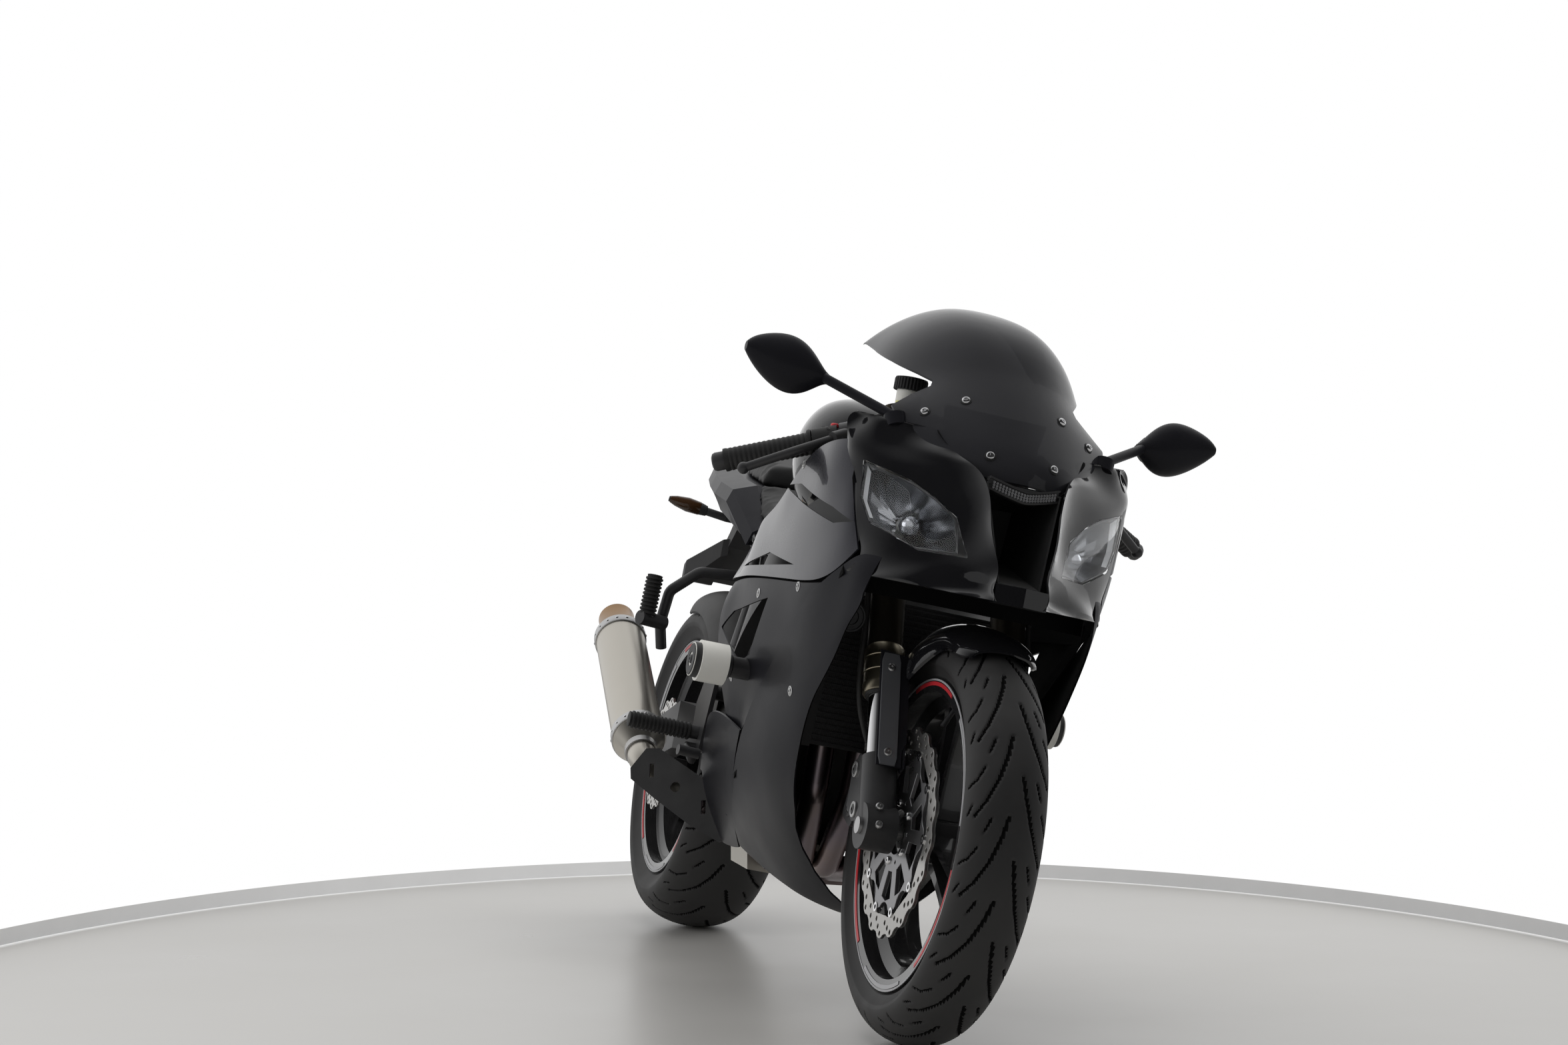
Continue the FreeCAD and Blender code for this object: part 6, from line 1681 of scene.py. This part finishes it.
@dataclass
class Studio:
    """Floor, background, lamps and the camera of the photograph's viewpoint."""

    paint: Paintbox
    front_axle: Vector
    camera_from_axle: tuple[float, float] = (-1.24203, -3.78583)
    camera_height: float = 0.66844
    yaw: float = math.radians(14.903)
    pitch: float = math.radians(1.294)
    lens: float = 62.54
    sensor: float = 36.0
    sight: float = 60.0
    gloss_range: tuple[float, ...] = (0.03, 0.8, -0.25, 0.55)
    floor_reach: float = 30.0
    floor_colour: tuple[float, float, float] = (0.49, 0.48, 0.46)
    floor_darker: float = 0.86
    floor_roughness: tuple[float, float] = (0.2, 0.42)
    floor_rim: tuple[float, float] = (0.985, 1.005)
    floor_ahead: float = 4.3
    floor_right: float = 0.02
    floor_half_width: float = 1.58
    floor_half_depth: float = 2.05
    skirting_height: float = 0.03
    skirting_steps: int = 240
    soft_boxes: tuple = (
        ("overhead", (0.0, 0.2, 3.4), (2.6, 4.0), 70.0),
        ("right side", (-3.2, -0.6, 1.7), (3.0, 2.2), 45.0),
        ("left side", (3.2, 0.4, 1.7), (3.0, 2.2), 40.0),
    )

    def build(self) -> None:
        """Make everything that isn't the bike."""
        bpy.context.scene.view_settings.view_transform = "Standard"
        dx, dy = self.camera_from_axle
        eye = Vector((self.front_axle.x + dx, self.front_axle.y + dy, self.camera_height))
        right, ahead = (Vector(way) for way in ((math.cos(self.yaw), -math.sin(self.yaw), 0),
                                                (math.sin(self.yaw), math.cos(self.yaw), 0)))
        centre = eye + ahead * self.floor_ahead + right * self.floor_right
        self._camera(eye)
        self._world()
        self._floor(centre)
        self._skirting(centre, right, ahead)
        self._lamps()

    def _camera(self, eye: Vector) -> None:
        """Place the camera."""
        data = bpy.data.cameras.new("camera")
        data.lens, data.sensor_width, data.clip_end = self.lens, self.sensor, self.sight
        camera = show("camera", data)
        camera.location = eye
        camera.rotation_euler = (math.radians(90) + self.pitch, 0.0, -self.yaw)
        bpy.context.scene.camera = camera

    def _world(self) -> None:
        """Make white surroundings, brighter to the eye and in gloss than as light."""
        world = bpy.data.worlds.new("white room")
        bpy.context.scene.world = world
        world.use_nodes = True
        bench = ShaderBench(world.node_tree)
        split = bench.add("SeparateXYZ", {"Vector": bench.add("TexCoord")["Generated"]})
        shine = bench.ramp(split["Y"], *self.gloss_range)
        plain, gloss, shown = (bench.add("Background", {"Color": WHITE, "Strength": strength})["Background"]
                               for strength in (ROOM_LIGHT, shine, ROOM_SEEN))
        rays = bench.add("LightPath")
        seen = bench.add("Math", {0: rays["Is Camera Ray"], 1: rays["Is Transmission Ray"]},
                         operation="MAXIMUM")
        unseen = bench.mix_shaders(rays["Is Glossy Ray"], plain, gloss)
        bench.add("OutputWorld", {"Surface": bench.mix_shaders(seen["Value"], unseen, shown)})

    def _floor(self, centre: Vector) -> None:
        """Make a pale floor that turns into the white background some way behind the bike.

        Args:
            centre: Middle of the round floor.
        """
        mesh = bpy.data.meshes.new("floor")
        reach = self.floor_reach
        mesh.from_pydata([(-reach, -reach, 0), (reach, -reach, 0), (reach, reach, 0), (-reach, reach, 0)], [],
                         [(0, 1, 2, 3)])
        show("floor", mesh)
        material, bench = new_material("pale floor")
        place = bench.add("TexCoord")["Object"]
        fitted = bench.add("Mapping", {
            "Vector": place, "Location": (centre.x, centre.y, 0), "Rotation": (0, 0, -self.yaw),
            "Scale": (self.floor_half_width, self.floor_half_depth, 1)}, vector_type="TEXTURE")
        length = bench.add("VectorMath", {0: fitted["Vector"]}, operation="LENGTH")
        edge = bench.ramp(length["Value"], 0.0, 1.0, *self.floor_rim)
        patches = bench.add("TexNoise", {"Vector": place, "Scale": 2.2, "Detail": 6.0})["Fac"]
        darker = tuple(value * self.floor_darker for value in self.floor_colour)
        shader = bench.add("BsdfPrincipled", {"Base Color": bench.mix(patches, darker, self.floor_colour),
                                              "Roughness": bench.ramp(patches, *self.floor_roughness)})
        strength = bench.ramp(bench.add("LightPath")["Is Camera Ray"], ROOM_LIGHT, ROOM_SEEN)
        white = bench.add("Emission", {"Strength": strength})
        bench.add("OutputMaterial", {"Surface": bench.mix_shaders(edge, shader["BSDF"], white["Emission"])})
        mesh.materials.append(material)

    def _skirting(self, centre: Vector, right: Vector, ahead: Vector) -> None:
        """Make a thin grey strip where the wall meets the floor.

        Args:
            centre: Middle of the round floor.
            right: The camera's right, on the floor.
            ahead: Where the camera looks, on the floor.
        """
        points, faces = [], []
        for k in range(self.skirting_steps + 1):
            angle = FULL_TURN * k / self.skirting_steps
            foot = centre + right * (self.floor_half_width * math.cos(angle))
            foot += ahead * (self.floor_half_depth * math.sin(angle))
            points += [(foot.x, foot.y, 0.0), (foot.x, foot.y, self.skirting_height)]
            if k:
                faces.append((2 * k - 2, 2 * k, 2 * k + 1, 2 * k - 1))
        mesh = bpy.data.meshes.new("skirting")
        mesh.from_pydata(points, [], faces)
        strip = show("skirting", mesh)
        self.paint.dress(strip, SKIRTING)

    def _lamps(self) -> None:
        """Hang soft boxes overhead and to both sides, not seen in gloss."""
        for name, spot, size, power in self.soft_boxes:
            data = bpy.data.lights.new(name, "AREA")
            data.shape, data.energy = "RECTANGLE", power
            data.size, data.size_y = size
            lamp = show(name, data)
            lamp.location = spot
            lamp.rotation_euler = (Vector((0, 0, 0.5)) - Vector(spot)).to_track_quat("-Z", "Y").to_euler()
            lamp.visible_glossy = False


# The bike


def main() -> None:
    """Load the model, dress it and build what is added."""
    logging.basicConfig(level=logging.INFO, format="%(message)s")
    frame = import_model()
    matrix = BikeFrame().matrix(frame["joints"])
    paint = Paintbox()
    Studio(paint, matrix @ Vector((0, 0, 0.3))).build()
    for finish, nodes in DRESSED.items():
        for name in nodes.split():
            paint.dress(frame["nodes"][name], finish)
    LOG.info("dressed %d nodes", len(frame["nodes"]))
    bench = Bench(matrix, paint, frame["nodes"])
    for part in (
        RoadTyre(bench, "front_tyre", "front_wheel", FRONT_AXLE, 120, 100),
        RoadTyre(bench, "rear_tyre", "rear_wheel", REAR_AXLE, 190, 164, across=100),
        WheelTrim(bench, "front_wheel", FRONT_AXLE, 50, 59.5, 12.9),
        WheelTrim(bench, "rear_wheel", REAR_AXLE, 82, 103.5, 14.4),
        PetalDisc(bench, "front_discs", "front_wheel", FRONT_AXLE, (-62.0, 62.0)),
        PetalDisc(bench, "rear_disc", "rear_wheel", REAR_AXLE, (-106.0,), 110, 28, 16, 8, 32),
        *(kind(bench) for kind in (ForkTrim, Controls, Headlamps, Fairing, Fittings, Exhaust, EngineTrim,
                                   Drive, Footrests, Upholstery, Tail)),
    ):
        part.build()


if __name__ == "__main__":
    main()
